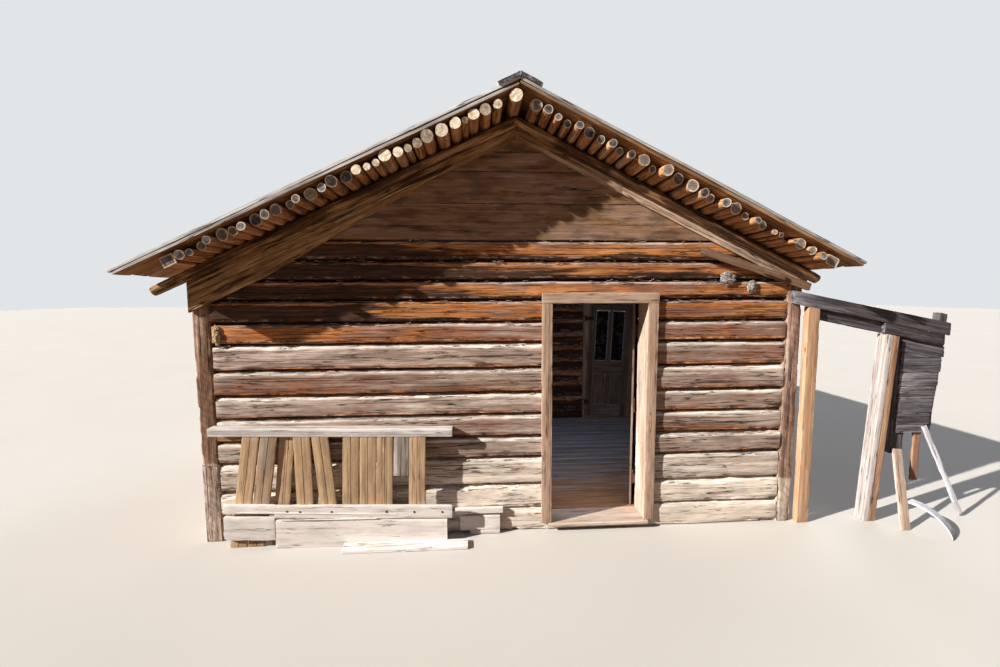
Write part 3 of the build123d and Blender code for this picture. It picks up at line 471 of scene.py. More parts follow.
def rings(piece, s, flat, loop, style, place, seed, weather_and_light, spread, undercut=None, held=None, slope=0.0):
    """Displaces the rings of a timber, adds its ends, and puts it in the piece.

    s is the place along the axis and flat the place in the section, for each ring and loop point.
    The grain runs at the slope, an angle to the axis."""
    rng = np.random.default_rng(seed)
    shift = rng.uniform(-40, 40)
    luck = rng.random()
    tilt = rng.uniform(-style.tilt, style.tilt, (2, 2)) if style.tilt else np.zeros((2, 2))
    centre = loop.places.mean(0)
    ring_count, width = s.shape
    sample = np.dstack([s + shift, flat[..., 0] + shift, flat[..., 1]])
    push = style.rough * noise(sample, style.rough_scale, seed, 2)
    push += style.fine * noise(sample, (0.045, 0.014, 0.014), seed + 7)
    wane = 0.5 + 0.5 * noise(sample * (1, 0.2, 0.2), (0.22, 0.1, 0.1), seed + 11, 2)
    push -= style.edge * loop.edge[None, :] * wane
    if style.broad:
        push += style.broad * noise(sample, (0.7, 0.16, 0.16), seed + 13)
    if style.chips:
        chipped = noise(sample, (0.11, 0.05, 0.05), seed + 17, 3)
        push -= style.chips * loop.edge[None, :] * np.clip((chipped - 0.12) / 0.18, 0, 1)
    if held is not None:
        # The faces that lie on the next timber stay where they are, so that no light comes through
        push *= held
    if undercut is not None:
        uneven = 0.75 + 0.55 * noise(sample * (1, 0, 0), (0.17, 1, 1), seed + 15, 2)
        push -= style.undercut * undercut[None, :] * uneven
    tangent = np.stack([-loop.normals[:, 1], loop.normals[:, 0]], 1)
    slide = np.zeros_like(s)
    middle = s.mean(1)
    for number in range(int(loop.crack.max()) + 1 if len(loop.crack) else 0):
        mine = loop.crack == number
        if not mine.any():
            continue
        if number < len(style.grooves):
            push[:, mine & (loop.side == 0)] -= style.groove_depth
            continue
        begin = middle[0] + (middle[-1] - middle[0]) * rng.uniform(-0.1, 0.75)
        run = rng.uniform(0.35, 1.5)
        inside = np.clip(np.minimum(middle - begin, begin + run - middle) / 0.12, 0, 1)
        uneven = 0.75 + 0.25 * line_noise(middle, 0.06, seed + number)
        depth = style.depth * rng.uniform(0.5, 1.2) * inside * uneven
        slide[:, mine] += (0.005 * line_noise(middle, 0.35, seed + 20 + number))[:, None]
        open_width = 1 + 0.8 * line_noise(middle, 0.15, seed + 30 + number)
        slide[:, mine] += (loop.side[mine][None, :] * style.crack_width * 0.35) * open_width[:, None]
        push[:, mine & (loop.side == 0)] -= depth[:, None]
    travel = middle + shift
    bend = style.bow * np.stack([line_noise(travel, 1.3, seed + 3), line_noise(travel, 1.1, seed + 4)], 1)
    if held is not None:
        bend[:, 1] = 0
    flat = flat + loop.normals[None] * push[..., None] + tangent[None] * slide[..., None] + bend[:, None, :]
    for ring in (0, -1):
        flat[ring] -= loop.normals * style.chamfer
        off = flat[ring] - centre
        s[ring] += off @ tilt[ring] + 0.35 * style.chamfer * flat_noise(off, 0.01, seed + 9)
    axis, side, up, origin = place
    points = origin + s[..., None] * axis + flat[..., :1] * side + flat[..., 1:] * up

    def grain_at(s, flat):
        return np.stack([s + shift, flat[..., 0] - centre[0] - style.pith[0],
                         flat[..., 1] - centre[1] - style.pith[1]], -1)

    # The faces along the timber
    ids = np.arange(ring_count * width).reshape(ring_count, width)
    nxt = np.roll(ids, -1, axis=1)
    quads = np.stack([ids[:-1], nxt[:-1], nxt[1:], ids[1:]], -1).reshape(-1, 4)
    outward = in_space(loop.normals, side, up)
    all_points = [points.reshape(-1, 3)]
    all_normals = [np.broadcast_to(outward, points.shape).reshape(-1, 3)]
    grain = [grain_at(s, flat).reshape(-1, 3)]
    edge = [np.broadcast_to(loop.edge, s.shape).reshape(-1)]
    caps = []
    base = ring_count * width
    for ring, sign in ((0, -1), (-1, 1)):
        rim, rim_s = flat[ring], s[ring]
        core, core_s = rim.mean(0), rim_s.mean()
        outer = ids[ring]
        for scale in END_ROUNDS:
            inner = core + (rim - core) * scale
            inner_s = core_s + (rim_s - core_s) * scale
            inner_s = inner_s - sign * 0.0015 * np.abs(flat_noise(inner, 0.02, seed))
            all_points.append(origin + inner_s[:, None] * axis + inner[:, :1] * side + inner[:, 1:] * up)
            all_normals.append(np.broadcast_to(sign * axis, (width, 3)))
            grain.append(grain_at(inner_s, inner))
            edge.append(np.zeros(width))
            inner_ids = np.arange(base, base + width)
            quad = np.stack([outer, inner_ids, np.roll(inner_ids, -1), np.roll(outer, -1)], -1)
            caps.append(quad if sign > 0 else quad[:, ::-1])
            outer = inner_ids
            base += width
        all_points.append((origin + core_s * axis + core[0] * side + core[1] * up)[None])
        all_normals.append(sign * axis[None])
        grain.append(grain_at(core_s, core)[None])
        edge.append(np.zeros(1))
        fan = np.stack([outer, np.full(width, base), np.roll(outer, -1)], -1)
        caps.append(fan if sign > 0 else fan[:, ::-1])
        base += 1
    where = np.concatenate(all_points)
    facing = np.concatenate(all_normals)
    age_and_light = weather_and_light(where, facing, luck)
    # Painted light and weathering: each log is paler along its top edge and towards its top, a painted
    # highlight where the sun falls as well as bleaching, and browner along its under edge, which is
    # sheltered wood and a painted warm bounce light
    if style.edge_light_and_age:
        height = loop.places[:, 1] - centre[1]
        edge_light_and_age_shift = style.edge_light_and_age * loop.edge * np.sign(height) + style.rise_light_and_age * height / height.max()
        age_and_light = age_and_light + np.concatenate([np.tile(edge_light_and_age_shift, ring_count), np.zeros(len(where) - ring_count * width)])
    grain = np.concatenate(grain)
    if slope:
        grain[:, 0], grain[:, 2] = (grain[:, 0] * cos(slope) + grain[:, 2] * sin(slope),
                                    grain[:, 2] * cos(slope) - grain[:, 0] * sin(slope))
    wear = np.stack([np.full(len(where), luck), np.clip(age_and_light, -0.6, 1.3), np.concatenate(edge)], 1)
    if spread is not None:
        where = where @ np.array(spread.to_3x3()).T + np.array(spread.translation)
    piece.add(where, grain, wear, [quads] + caps, [0] + [1] * len(caps))


def prism(piece, points, triangles, style, seed, weather_and_light, outside=None, spread=None):
    """Rebuilds a solid with straight sides as a worn timber, its cut ends kept."""
    normals, offsets, axis = planes_of(points, triangles)
    side, up = across(axis)
    origin = points.mean(0)
    local = points - origin
    flat_points = np.stack([local @ side, local @ up], 1)
    corners = hull(flat_points)
    rng = np.random.default_rng(seed + 1)
    length = np.ptp(local @ axis)
    if len(corners) > 8:
        loop = round_loop(corners, style.flats)
    else:
        cracks, kept_normals = [], []
        spans = np.linalg.norm(np.roll(corners, -1, axis=0) - corners, axis=1)
        wide = [k for k in range(len(corners)) if spans[k] > 0.45 * spans.max()]
        for k in wide:
            along = (corners[(k + 1) % len(corners)] - corners[k]) / spans[k]
            normal = np.array((along[1], -along[0]))
            if outside is not None and in_space(normal, side, up) @ outside < 0.5:
                continue
            kept_normals.append((normal, spans[k]))
        for share in style.grooves:
            normal = max(kept_normals, key=lambda item: in_space(item[0], side, up) @ style.groove_face)[0]
            cracks.append((normal, share, GROOVE_HALF_WIDTH))
        for normal, span in kept_normals:
            for share in sorted(rng.uniform(0.12, 0.88, rng.poisson(style.cracks * min(length, 3.0)))):
                near = [c for c in cracks if c[0] @ normal > 0.9]
                if all(abs(share - c[1]) * span > 7 * style.crack_width for c in near):
                    cracks.append((normal, share, style.crack_width))
        loop = cornered_loop(corners, step_chooser(style, side, up, outside), style.fillet, cracks)
    start = origin + loop.places[:, :1] * side + loop.places[:, 1:] * up
    low, high = np.full(len(start), -1e9), np.full(len(start), 1e9)
    for normal, offset in zip(normals, offsets):
        slope = normal @ axis
        if abs(slope) > 0.03:
            distance = (offset - start @ normal) / slope
            if slope > 0:
                high = np.minimum(high, distance)
            else:
                low = np.maximum(low, distance)
    middle = (low + high) / 2
    thin = high < low + 0.002
    low, high = np.where(thin, middle - 0.001, low), np.where(thin, middle + 0.001, high)
    shares = stations(length, style.along, style.ends if len(corners) > 8 else 0.0)
    s = low[None, :] + (high - low)[None, :] * shares[:, None]
    flat = np.broadcast_to(loop.places, s.shape + (2,)).copy()
    undercut = held = None
    if style.undercut and outside is not None:
        reach = in_space(loop.places, side, up) @ outside
        behind = reach.max() - reach
        upright = np.abs(loop.normals[:, 1])
        undercut = upright * np.interp(behind, (0.008, 0.03, 0.060, 0.090), (0, 1, 1, 0))
        held = 1 - upright * np.interp(behind, (0.05, 0.09), (0, 1))
    elif style.tight:
        reach = in_space(loop.places, side, up) @ (FRONT if outside is None else outside)
        held = 1 - np.abs(loop.normals[:, 1]) * np.interp(reach.max() - reach, (0.003, 0.010), (0, 1))
    rings(piece, s, flat, loop, style, (axis, side, up, origin), seed, weather_and_light, spread, undercut, held)


def box_part(low, high):
    """A box between two corners, as the points and triangles of a solid."""
    corners = np.array([[(low, high)[i][0], (low, high)[j][1], (low, high)[k][2]]
                        for i in (0, 1) for j in (0, 1) for k in (0, 1)], float)
    squares = ((0, 1, 3, 2), (4, 6, 7, 5), (0, 4, 5, 1), (2, 3, 7, 6), (0, 2, 6, 4), (1, 5, 7, 3))
    triangles = [t for a, b, c, d in squares for t in ((a, b, c), (a, c, d))]
    return corners, np.array(triangles)


def stepped(piece, points, triangles, style, seed, weather_and_light, outside=None):
    """Rebuilds a timber that lies along X and whose section is a rectangle that changes on the way."""
    axis = RIGHT
    side, up = across(axis)
    origin = np.array((0.0, points[:, 1].mean(), points[:, 2].mean()))
    local = points - origin
    flat_points = np.stack([local @ side, local @ up], 1)
    lows, highs = flat_points.min(0), flat_points.max(0)
    corners = np.array([(lows[0], lows[1]), (highs[0], lows[1]), (highs[0], highs[1]), (lows[0], highs[1])])
    loop = cornered_loop(corners, step_chooser(style, side, up, outside), style.fillet, [])
    x0, x1 = points[:, 0].min(), points[:, 0].max()
    breaks = np.unique(np.round(points[:, 0], 4))
    xs = list(np.linspace(x0, x1, int((x1 - x0) / style.along) + 1)[1:-1])
    for b in breaks:
        xs += [b - BREAK, b + BREAK]
    xs = np.array(sorted(x for x in set(xs) if x0 < x < x1))
    xs[0], xs[-1] = x0 + BREAK, x1 - BREAK
    pairs = np.concatenate([triangles[:, [0, 1]], triangles[:, [1, 2]], triangles[:, [2, 0]]])
    a, b = points[pairs[:, 0]], points[pairs[:, 1]]
    share = (loop.places - lows) / (highs - lows)
    flat = np.empty((len(xs), len(share), 2))
    for row, x in enumerate(xs):
        crossing = (a[:, 0] - x) * (b[:, 0] - x) < 0
        pa, pb = a[crossing], b[crossing]
        t = ((x - pa[:, 0]) / (pb[:, 0] - pa[:, 0]))[:, None]
        cut = pa + (pb - pa) * t - origin
        cut = np.stack([cut @ side, cut @ up], 1)
        flat[row] = cut.min(0) + share * np.ptp(cut, axis=0)
    s = np.broadcast_to(xs[:, None], (len(xs), len(share))).copy()
    tops = [points[np.abs(points[:, 0] - x) < 0.001][:, 2].max() for x in (x0, x1)]
    slope = np.arctan2(tops[1] - tops[0], x1 - x0)
    rings(piece, s, flat, loop, style, (axis, side, up, origin), seed, weather_and_light, None, slope=slope)


def is_convex(points, triangles):
    normals, offsets, _ = planes_of(points, triangles)
    return (points @ normals.T - offsets).max() < BREAK


# Shader building

class Tree:
    """A short way to write the nodes of a material or of the world."""

    def __init__(self, owner):
        owner.use_nodes = True
        self.owner = owner
        self.nodes, self.links = owner.node_tree.nodes, owner.node_tree.links

    def feed(self, socket, value):
        if isinstance(value, bpy.types.NodeSocket):
            self.links.new(value, socket)
        else:
            socket.default_value = value

    def new(self, kind, **inputs):
        node = self.nodes.new("ShaderNode" + kind)
        for name, value in inputs.items():
            self.feed(node.inputs[name.replace("_", " ")], value)
        return node

    def math(self, operation, *values):
        node = self.nodes.new("ShaderNodeMath")
        node.operation = operation
        for socket, value in zip(node.inputs, values):
            self.feed(socket, value)
        return node.outputs[0]

    def add(self, a, b):
        return self.math("ADD", a, b)

    def sub(self, a, b):
        return self.math("SUBTRACT", a, b)

    def mul(self, a, b):
        return self.math("MULTIPLY", a, b)

    def attribute(self, name):
        node = self.new("Attribute")
        node.attribute_name = name
        return node.outputs["Vector"]

    def parts(self, vector):
        return self.new("SeparateXYZ", Vector=vector).outputs

    def scaled(self, vector, scale, operation="MULTIPLY"):
        node = self.nodes.new("ShaderNodeVectorMath")
        node.operation = operation
        self.feed(node.inputs[0], vector)
        node.inputs[1].default_value = scale
        return node

    def noise(self, vector, scale, detail=3.0, roughness=0.55, distortion=0.0):
        node = self.new("TexNoise", Vector=self.scaled(vector, scale).outputs[0], Scale=1.0, Detail=detail,
                        Roughness=roughness, Distortion=distortion)
        return node.outputs["Fac"]

    def ramp(self, value, low, high, to_low=0.0, to_high=1.0, smooth=True):
        node = self.nodes.new("ShaderNodeMapRange")
        node.interpolation_type = "SMOOTHSTEP" if smooth else "LINEAR"
        for socket, number in zip(node.inputs[:5], (value, low, high, to_low, to_high)):
            self.feed(socket, number)
        return node.outputs[0]

    def mix(self, share, a, b, blend="MIX"):
        node = self.nodes.new("ShaderNodeMix")
        node.data_type, node.blend_type = "RGBA", blend
        self.feed(node.inputs[0], share)
        self.feed(node.inputs[6], a)
        self.feed(node.inputs[7], b)
        return node.outputs[2]

    def stops(self, value, colours, places=(0.0, 0.5, 1.0)):
        node = self.nodes.new("ShaderNodeValToRGB")
        elements = node.color_ramp.elements
        while len(elements) < len(colours):
            elements.new(0.5)
        for element, colour, place in zip(elements, colours, places):
            element.position, element.color = place, linear(colour)
        self.feed(node.inputs[0], value)
        return node.outputs[0]

    def coat(self, colour, roughness, height=None, strength=1.0, distance=0.001, **others):
        """Feeds the surface, with a relief where a height is given, and returns the material."""
        surface = self.nodes["Principled BSDF"].inputs
        self.feed(surface["Base Color"], colour)
        self.feed(surface["Roughness"], roughness)
        if height is not None:
            relief = self.new("Bump", Height=height, Strength=strength, Distance=distance)
            self.feed(surface["Normal"], relief.outputs[0])
        for name, value in others.items():
            surface[name.replace("_", " ")].default_value = value
        return self.owner


def material_tree(name):
    return Tree(bpy.data.materials.new(name))


def wood(name, brown, grey, pale, darkened_and_shade=None, orange=None, dark=(34, 22, 16), cracks=0.5, knots=0.5, bump=0.6,
         depth=0.006, contrast=0.5, blotches=0.5, hewn=0.0, splinters=0.0, roughness=0.88):
    """Weathered wood: fibres along the grain, streaks, cracks and knots. Each palette is dark, middle
    and light; a surface goes from the brown one to the grey one to the pale one as it weathers. Below 0
    come the orange one, of wood that has kept its colour, and the darkest one, of wood that has darkened,
    which is also the painted shade where a timber lies in shadow."""
    t = material_tree(name)
    g = t.attribute("grain")
    luck, weather_and_light, edge = t.parts(t.attribute("wear"))
    fine = t.noise(g, (6.0, 130.0, 130.0), 3.0, 0.7)
    streak = t.noise(g, (1.3, 36.0, 36.0), 5.0, 0.62, 0.2)
    patch = t.noise(g, (1.3, 5.0, 5.0), 4.0, 0.6, 0.4)
    tone = t.add(t.mul(fine, 0.40), t.mul(streak, 0.60))
    half = 0.13 / contrast
    tone = t.ramp(tone, 0.5 - half, 0.5 + half, smooth=False)
    # Thin dark cracks where a stretched noise passes its middle value
    crack = 0.0
    for scale, width, share in (((0.40, 12.0, 12.0), 0.011, 0.60), ((1.0, 30.0, 30.0), 0.013, 0.62)):
        seam = t.noise(g, scale, 4.0, 0.55, 0.15)
        seam = t.ramp(t.math("ABSOLUTE", t.sub(seam, 0.5)), 0.3 * width, width, 1.0, 0.0)
        lone = t.noise(g, (scale[0] * 3.0, scale[1] * 0.7, scale[2] * 0.7), 1.0)
        seam = t.mul(seam, t.ramp(lone, share - 0.14 * cracks, share + 0.10 - 0.14 * cracks))
        crack = t.math("MAXIMUM", crack, seam)
    # Knots at scattered points, with the fibres darker round them
    cells = t.new("TexVoronoi", Vector=t.scaled(g, (3.4, 11.0, 11.0)).outputs[0], Scale=1.0, Randomness=1.0)
    chance = t.math("GREATER_THAN", t.parts(cells.outputs["Color"])[0], 1 - 0.6 * knots)
    knot = t.mul(t.ramp(cells.outputs["Distance"], 0.06, 0.12, 1.0, 0.0), chance)
    halo = t.mul(t.ramp(cells.outputs["Distance"], 0.06, 0.30, 1.0, 0.0), chance)
    colours = [t.stops(tone, palette) for palette in (brown, grey, pale)]
    spread = t.add(t.mul(t.sub(patch, 0.5), 1.5 * blotches + 0.4),
                    t.mul(t.sub(streak, 0.5), 0.7))
    aged_and_light = t.add(weather_and_light, spread)
    colour = t.mix(t.ramp(aged_and_light, 0.10, 0.42, smooth=False), colours[0], colours[1])
    if orange:
        colour = t.mix(t.ramp(aged_and_light, -0.08, 0.08, 1.0, 0.0), colour, t.stops(tone, orange))
    colour = t.mix(t.ramp(aged_and_light, 0.5, 1.0, smooth=False), colour, colours[2])
    # Painted shade: the darkest palette goes where the weathering puts a timber in shadow, and it also makes
    # dark patches of darkened wood
    if darkened_and_shade:
        colour = t.mix(t.ramp(aged_and_light, -0.34, -0.14, 1.0, 0.0), colour, t.stops(tone, darkened_and_shade))
    lift = t.mul(t.mul(edge, fine), t.ramp(weather_and_light, 0.2, 0.6, 0.0, 0.7))
    colour = t.mix(lift, colour, linear(pale[2]))
    if splinters:
        torn = t.noise(g, (9.0, 60.0, 60.0), 3.0, 0.6)
        torn = t.mul(t.ramp(torn, 0.54, 0.60), t.ramp(edge, 0.25, 0.7))
        colour = t.mix(t.mul(torn, splinters), colour, linear(pale[1]))
    blotch = t.noise(g, (3.0, 11.0, 11.0), 4.0, 0.65)
    level = t.ramp(luck, 0.0, 1.0, 0.90, 1.12, smooth=False)
    level = t.mul(level, t.ramp(blotch, 0.36, 0.56, 1 - 0.4 * blotches, 1.04))
    if hewn:
        slant = t.scaled(g, (26.0, 17.0, 17.0), "DOT_PRODUCT").outputs["Value"]
        turned = t.new("CombineXYZ", X=slant, Y=t.mul(t.parts(g)[1], 5.0), Z=t.mul(t.parts(g)[2], 5.0))
        score = t.new("TexNoise", Vector=turned.outputs[0], Scale=1.0, Detail=4.0, Roughness=0.7,
                      Distortion=0.6)
        score = t.ramp(score.outputs["Fac"], 0.40, 0.58)
        level = t.mul(level, t.ramp(score, 0.0, 1.0, 1 - 0.45 * hewn, 1.06))
    value = t.new("CombineXYZ", X=level, Y=level, Z=level)
    colour = t.mix(1.0, colour, value.outputs[0], "MULTIPLY")
    colour = t.mix(t.mul(halo, 0.30), colour, linear(dark))
    colour = t.mix(t.mul(knot, 0.80), colour, linear(dark))
    colour = t.mix(t.mul(crack, 0.90), colour, linear(dark))
    height = t.add(t.mul(fine, 0.5), t.mul(streak, 0.6))
    height = t.sub(height, t.mul(crack, 0.5))
    height = t.sub(height, t.mul(knot, 0.2))
    if hewn:
        height = t.add(height, t.mul(score, 0.8 * hewn))
    return t.coat(colour, roughness, height, bump, depth, Specular_IOR_Level=0.25)


def end_wood(name, fresh, old, rings):
    """End grain: rings round the pith, cracks running out from it, and saw marks."""
    t = material_tree(name)
    g = t.attribute("grain")
    luck, weather_and_light, edge = t.parts(t.attribute("wear"))
    a, b = t.parts(g)[1:]
    wobble = t.noise(g, (0.1, 16, 16), 2.0)
    radius = t.math("SQRT", t.add(t.mul(a, a), t.mul(b, b)))
    ring = t.math("SINE", t.mul(t.add(radius, t.mul(wobble, 0.02)), rings * 2))
    turn = t.math("ARCTAN2", b, a)
    fan = t.new("CombineXYZ", X=t.mul(t.math("COSINE", turn), 3.0),
                Y=t.mul(t.math("SINE", turn), 3.0), Z=t.mul(luck, 40.0))
    ray = t.noise(fan.outputs[0], (1.3, 1.3, 1.0), 2.0, 0.6)
    crack = t.ramp(t.math("ABSOLUTE", t.sub(ray, 0.5)), 0.0, 0.030, 1.0, 0.0)
    crack = t.mul(crack, t.ramp(radius, 0.0, 0.035, 1.0, 0.35))
    grime = t.noise(g, (1.0, 30, 30), 4.0, 0.65)
    fibres = t.noise(g, (40, 260, 260), 2.0)
    tone = t.add(t.mul(grime, 0.80), t.mul(ring, 0.06))
    tone = t.add(tone, t.mul(fibres, 0.2))
    tone = t.ramp(tone, 0.36, 0.66, smooth=False)
    aged_and_light = t.ramp(t.add(weather_and_light, t.mul(t.sub(grime, 0.5), 0.5)), 0.2, 0.8)
    colour = t.mix(aged_and_light, t.stops(tone, fresh), t.stops(tone, old))
    rim = t.mul(t.ramp(edge, 0.70, 1.0), t.ramp(grime, 0.44, 0.6, 0.0, 0.25))
    colour = t.mix(rim, colour, linear(RIM))
    colour = t.mix(t.mul(crack, 0.85), colour, linear(END_CRACK))
    height = t.sub(t.mul(t.add(fibres, grime), 0.4), crack)
    return t.coat(colour, 0.92, height, 0.5, 0.004, Specular_IOR_Level=0.2)


RIM = (206, 202, 198)
END_CRACK = (30, 20, 15)
BARE = ((172, 142, 106), (228, 212, 188), (250, 242, 228))
OLD_END = ((50, 46, 48), (98, 96, 100), (160, 158, 160))
DARK_END = ((40, 28, 22), (84, 62, 50), (128, 104, 88))
PALETTES = {
    # name: brown, grey and pale palettes, then the shader's other settings and the end grain's palettes
    "log": (((88, 54, 38), (154, 106, 82), (204, 158, 128)),
            ((116, 94, 82), (168, 145, 132), (212, 192, 178)),
            ((190, 168, 146), (242, 228, 212), (254, 250, 242)),
            dict(darkened_and_shade=((38, 25, 19), (76, 52, 40), (128, 92, 66)),
                 orange=((114, 62, 32), (194, 124, 70), (238, 178, 114)), cracks=1.0, bump=0.9,
                 contrast=0.62, splinters=0.32), (BARE, OLD_END)),
    "post": (((74, 46, 34), (134, 102, 80), (184, 150, 122)),
             ((112, 82, 66), (172, 140, 124), (220, 190, 168)),
             ((150, 132, 114), (208, 192, 174), (238, 224, 208)),
             dict(cracks=0.8, knots=0.3, bump=1.0, depth=0.005, hewn=0.4, contrast=0.7), (BARE, OLD_END)),
    "gable": (((74, 50, 32), (138, 106, 76), (186, 150, 116)),
              ((92, 70, 56), (146, 116, 96), (192, 162, 138)),
              ((132, 112, 96), (190, 168, 148), (230, 210, 190)),
              dict(cracks=0.4, knots=0.35, bump=0.4, depth=0.003, contrast=0.45, blotches=1.1),
              (DARK_END, OLD_END)),
    "rake": (((84, 56, 30), (166, 128, 86), (216, 182, 138)),
             ((112, 88, 70), (172, 142, 118), (218, 192, 168)),
             ((150, 128, 108), (204, 182, 160), (236, 218, 198)),
             dict(darkened_and_shade=((34, 22, 14), (82, 54, 34), (140, 104, 72)), cracks=0.7, knots=0.7, bump=0.8,
                  contrast=0.9, blotches=0.8), (DARK_END, OLD_END)),
    "pole": (((104, 66, 38), (190, 138, 94), (228, 184, 136)),
             ((96, 76, 62), (160, 136, 112), (204, 182, 158)),
             ((104, 94, 84), (166, 154, 140), (216, 206, 192)),
             dict(cracks=0.8, knots=0.7, bump=0.9, contrast=0.9, blotches=0.8), (BARE, OLD_END)),
    "roof": (((96, 64, 40), (164, 124, 86), (212, 174, 132)),
             ((66, 61, 58), (118, 113, 108), (168, 163, 158)),
             ((140, 138, 136), (210, 208, 206), (244, 243, 240)),
             dict(cracks=0.8, contrast=0.8), (OLD_END, OLD_END)),
    "trim": (((140, 104, 80), (186, 152, 126), (218, 190, 164)),
             ((146, 114, 92), (188, 158, 136), (220, 196, 176)),
             ((160, 148, 132), (200, 188, 174), (236, 226, 212)),
             dict(cracks=0.4, knots=0.35, bump=0.5, depth=0.004, blotches=0.35), (BARE, OLD_END)),
    "bench": (((134, 104, 76), (192, 160, 126), (226, 198, 162)),
              ((92, 86, 82), (140, 130, 122), (182, 172, 162)),
              ((160, 154, 152), (212, 204, 200), (238, 234, 230)),
              dict(cracks=0.3, knots=0.35, depth=0.004, contrast=0.6, blotches=0.4), (BARE, OLD_END)),
    "plank": (((130, 90, 62), (192, 148, 112), (226, 190, 156)),
              ((160, 142, 126), (214, 198, 182), (238, 226, 214)),
              ((206, 192, 184), (236, 229, 223), (250, 247, 243)),
              dict(dark=(96, 74, 60), cracks=0.6, knots=0.4, bump=0.5, depth=0.004, contrast=0.45,
                   blotches=0.3),
              (BARE, OLD_END)),
    "jamb": (((120, 84, 62), (188, 148, 116), (230, 196, 164)),
             ((118, 108, 104), (168, 158, 154), (200, 192, 188)),
             ((158, 150, 148), (208, 200, 198), (234, 228, 226)),
             dict(cracks=0.9, knots=0.3, bump=0.7, contrast=0.7, blotches=0.2), (BARE, OLD_END)),
    "brace": (((104, 76, 60), (152, 116, 94), (192, 158, 132)),
              ((128, 106, 88), (176, 150, 130), (208, 184, 164)),
              ((164, 164, 170), (206, 208, 216), (234, 236, 242)),
              dict(cracks=0.8, knots=0.3, contrast=0.6, blotches=0.3), (BARE, OLD_END)),
    # The floor's pale palette is bluish: a painted cool light for the far end of the room
    "floor": (((112, 78, 54), (160, 118, 86), (196, 154, 120)),
              ((136, 124, 118), (172, 160, 154), (198, 188, 182)),
              ((160, 162, 172), (206, 210, 222), (230, 234, 244)),
              dict(cracks=0.2, knots=0.2, bump=0.3, depth=0.003, contrast=0.4, blotches=0.3, roughness=0.5),
              (OLD_END, OLD_END)),
    "door": (((72, 52, 40), (122, 96, 76), (164, 132, 108)),
             ((80, 66, 56), (128, 112, 98), (168, 152, 138)),
             ((120, 106, 92), (176, 160, 142), (214, 200, 184)),
             dict(cracks=0.3, knots=0.3, bump=0.4, depth=0.004, blotches=0.4), (DARK_END, DARK_END)),
    "fresh": (((158, 114, 80), (200, 158, 124), (230, 198, 168)),
              ((160, 128, 98), (208, 176, 146), (232, 208, 182)),
              ((170, 150, 130), (216, 198, 178), (240, 228, 210)),
              dict(dark=(104, 70, 44), cracks=0.3, knots=0.6, bump=0.4, depth=0.003, blotches=0.3),
              (BARE, BARE)),
    "grey": (((40, 35, 36), (78, 73, 76), (124, 118, 120)),
             ((60, 58, 63), (106, 104, 111), (150, 148, 154)),
             ((124, 120, 120), (198, 192, 190), (238, 234, 230)),
             dict(cracks=0.8, knots=0.4, bump=0.8, contrast=0.7, blotches=0.7), (OLD_END, OLD_END)),
}
MATERIALS = {}
for key, (brown, grey, pale, extra, ends) in PALETTES.items():
    MATERIALS[key] = (wood(key + "_wood", brown, grey, pale, **extra),
                      end_wood(key + "_ends", *ends, rings=420.0 if key == "pole" else 260.0))


def iron_material():
    """Old iron: brown rust in patches over dark metal."""
    t = material_tree("old_iron")
    place = t.new("TexCoord").outputs["Object"]
    rust = t.noise(place, (60, 60, 60), 5.0, 0.65)
    fine = t.noise(place, (400, 400, 400), 3.0)
    colour = t.stops(t.ramp(rust, 0.3, 0.7), ((34, 28, 26), (84, 50, 34), (128, 76, 46)))
    rough = t.ramp(rust, 0.3, 0.7, 0.45, 0.9)
    return t.coat(colour, rough, t.add(rust, t.mul(fine, 0.4)), 0.5, 0.001, Metallic=0.55)


def glass_material():
    """Old window glass that has gone dark with dust, a little wavy."""
    t = material_tree("window_glass")
    place = t.new("TexCoord").outputs["Object"]
    dust = t.noise(place, (9, 9, 9), 5.0, 0.65)
    colour = t.stops(t.ramp(dust, 0.3, 0.75), ((26, 24, 24), (44, 40, 38), (86, 80, 74)))
    rough = t.ramp(dust, 0.35, 0.75, 0.08, 0.55)
    return t.coat(colour, rough, t.noise(place, (14, 14, 5), 1.0), 0.25, 0.002, IOR=1.45)


def paint_material():
    """Flaking pale paint on the beads round the panes."""
    t = material_tree("bead_paint")
    place = t.new("TexCoord").outputs["Object"]
    flake = t.noise(place, (40, 40, 40), 4.0, 0.65)
    return t.coat(t.stops(t.ramp(flake, 0.35, 0.6), ((120, 108, 96), (196, 192, 188), (222, 220, 216))), 0.7)


IRON = iron_material()
GLASS = glass_material()
PAINT = paint_material()
CORNER_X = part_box("front_right_post")[1][0]
CREAM_ENDS = (-1.25, 0.16)
ROOF_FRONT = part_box("left_roof_boards")[0][1] + 0.004
GREY_BENCH_BOARDS = ((-2.16, -1.86), (-1.10, -0.86))
ROOM_HALF_WIDTH = 2.62
ROOM_DEPTHS = (0.08, 3.37)
# Painted shade of the dim room: the logs inside take the darkest palette
INDOOR_SHADE = -0.40
WALL_AGE = ((0.0, 1.3), (0.3, 1.2), (0.55, 1.0), (0.75, 0.75), (0.95, 0.52), (1.4, 0.42), (1.7, 0.36),
            (1.90, 0.24), (2.04, 0.17), (2.09, -0.07))


# Weathering of a surface, from 0, sheltered and brown, to 1, bleached, with painted light and shade where a
# function below says so

def indoors(points):
    depth = points[:, 1]
    return (np.abs(points[:, 0]) < ROOM_HALF_WIDTH) & (depth > ROOM_DEPTHS[0]) & (depth < ROOM_DEPTHS[1])


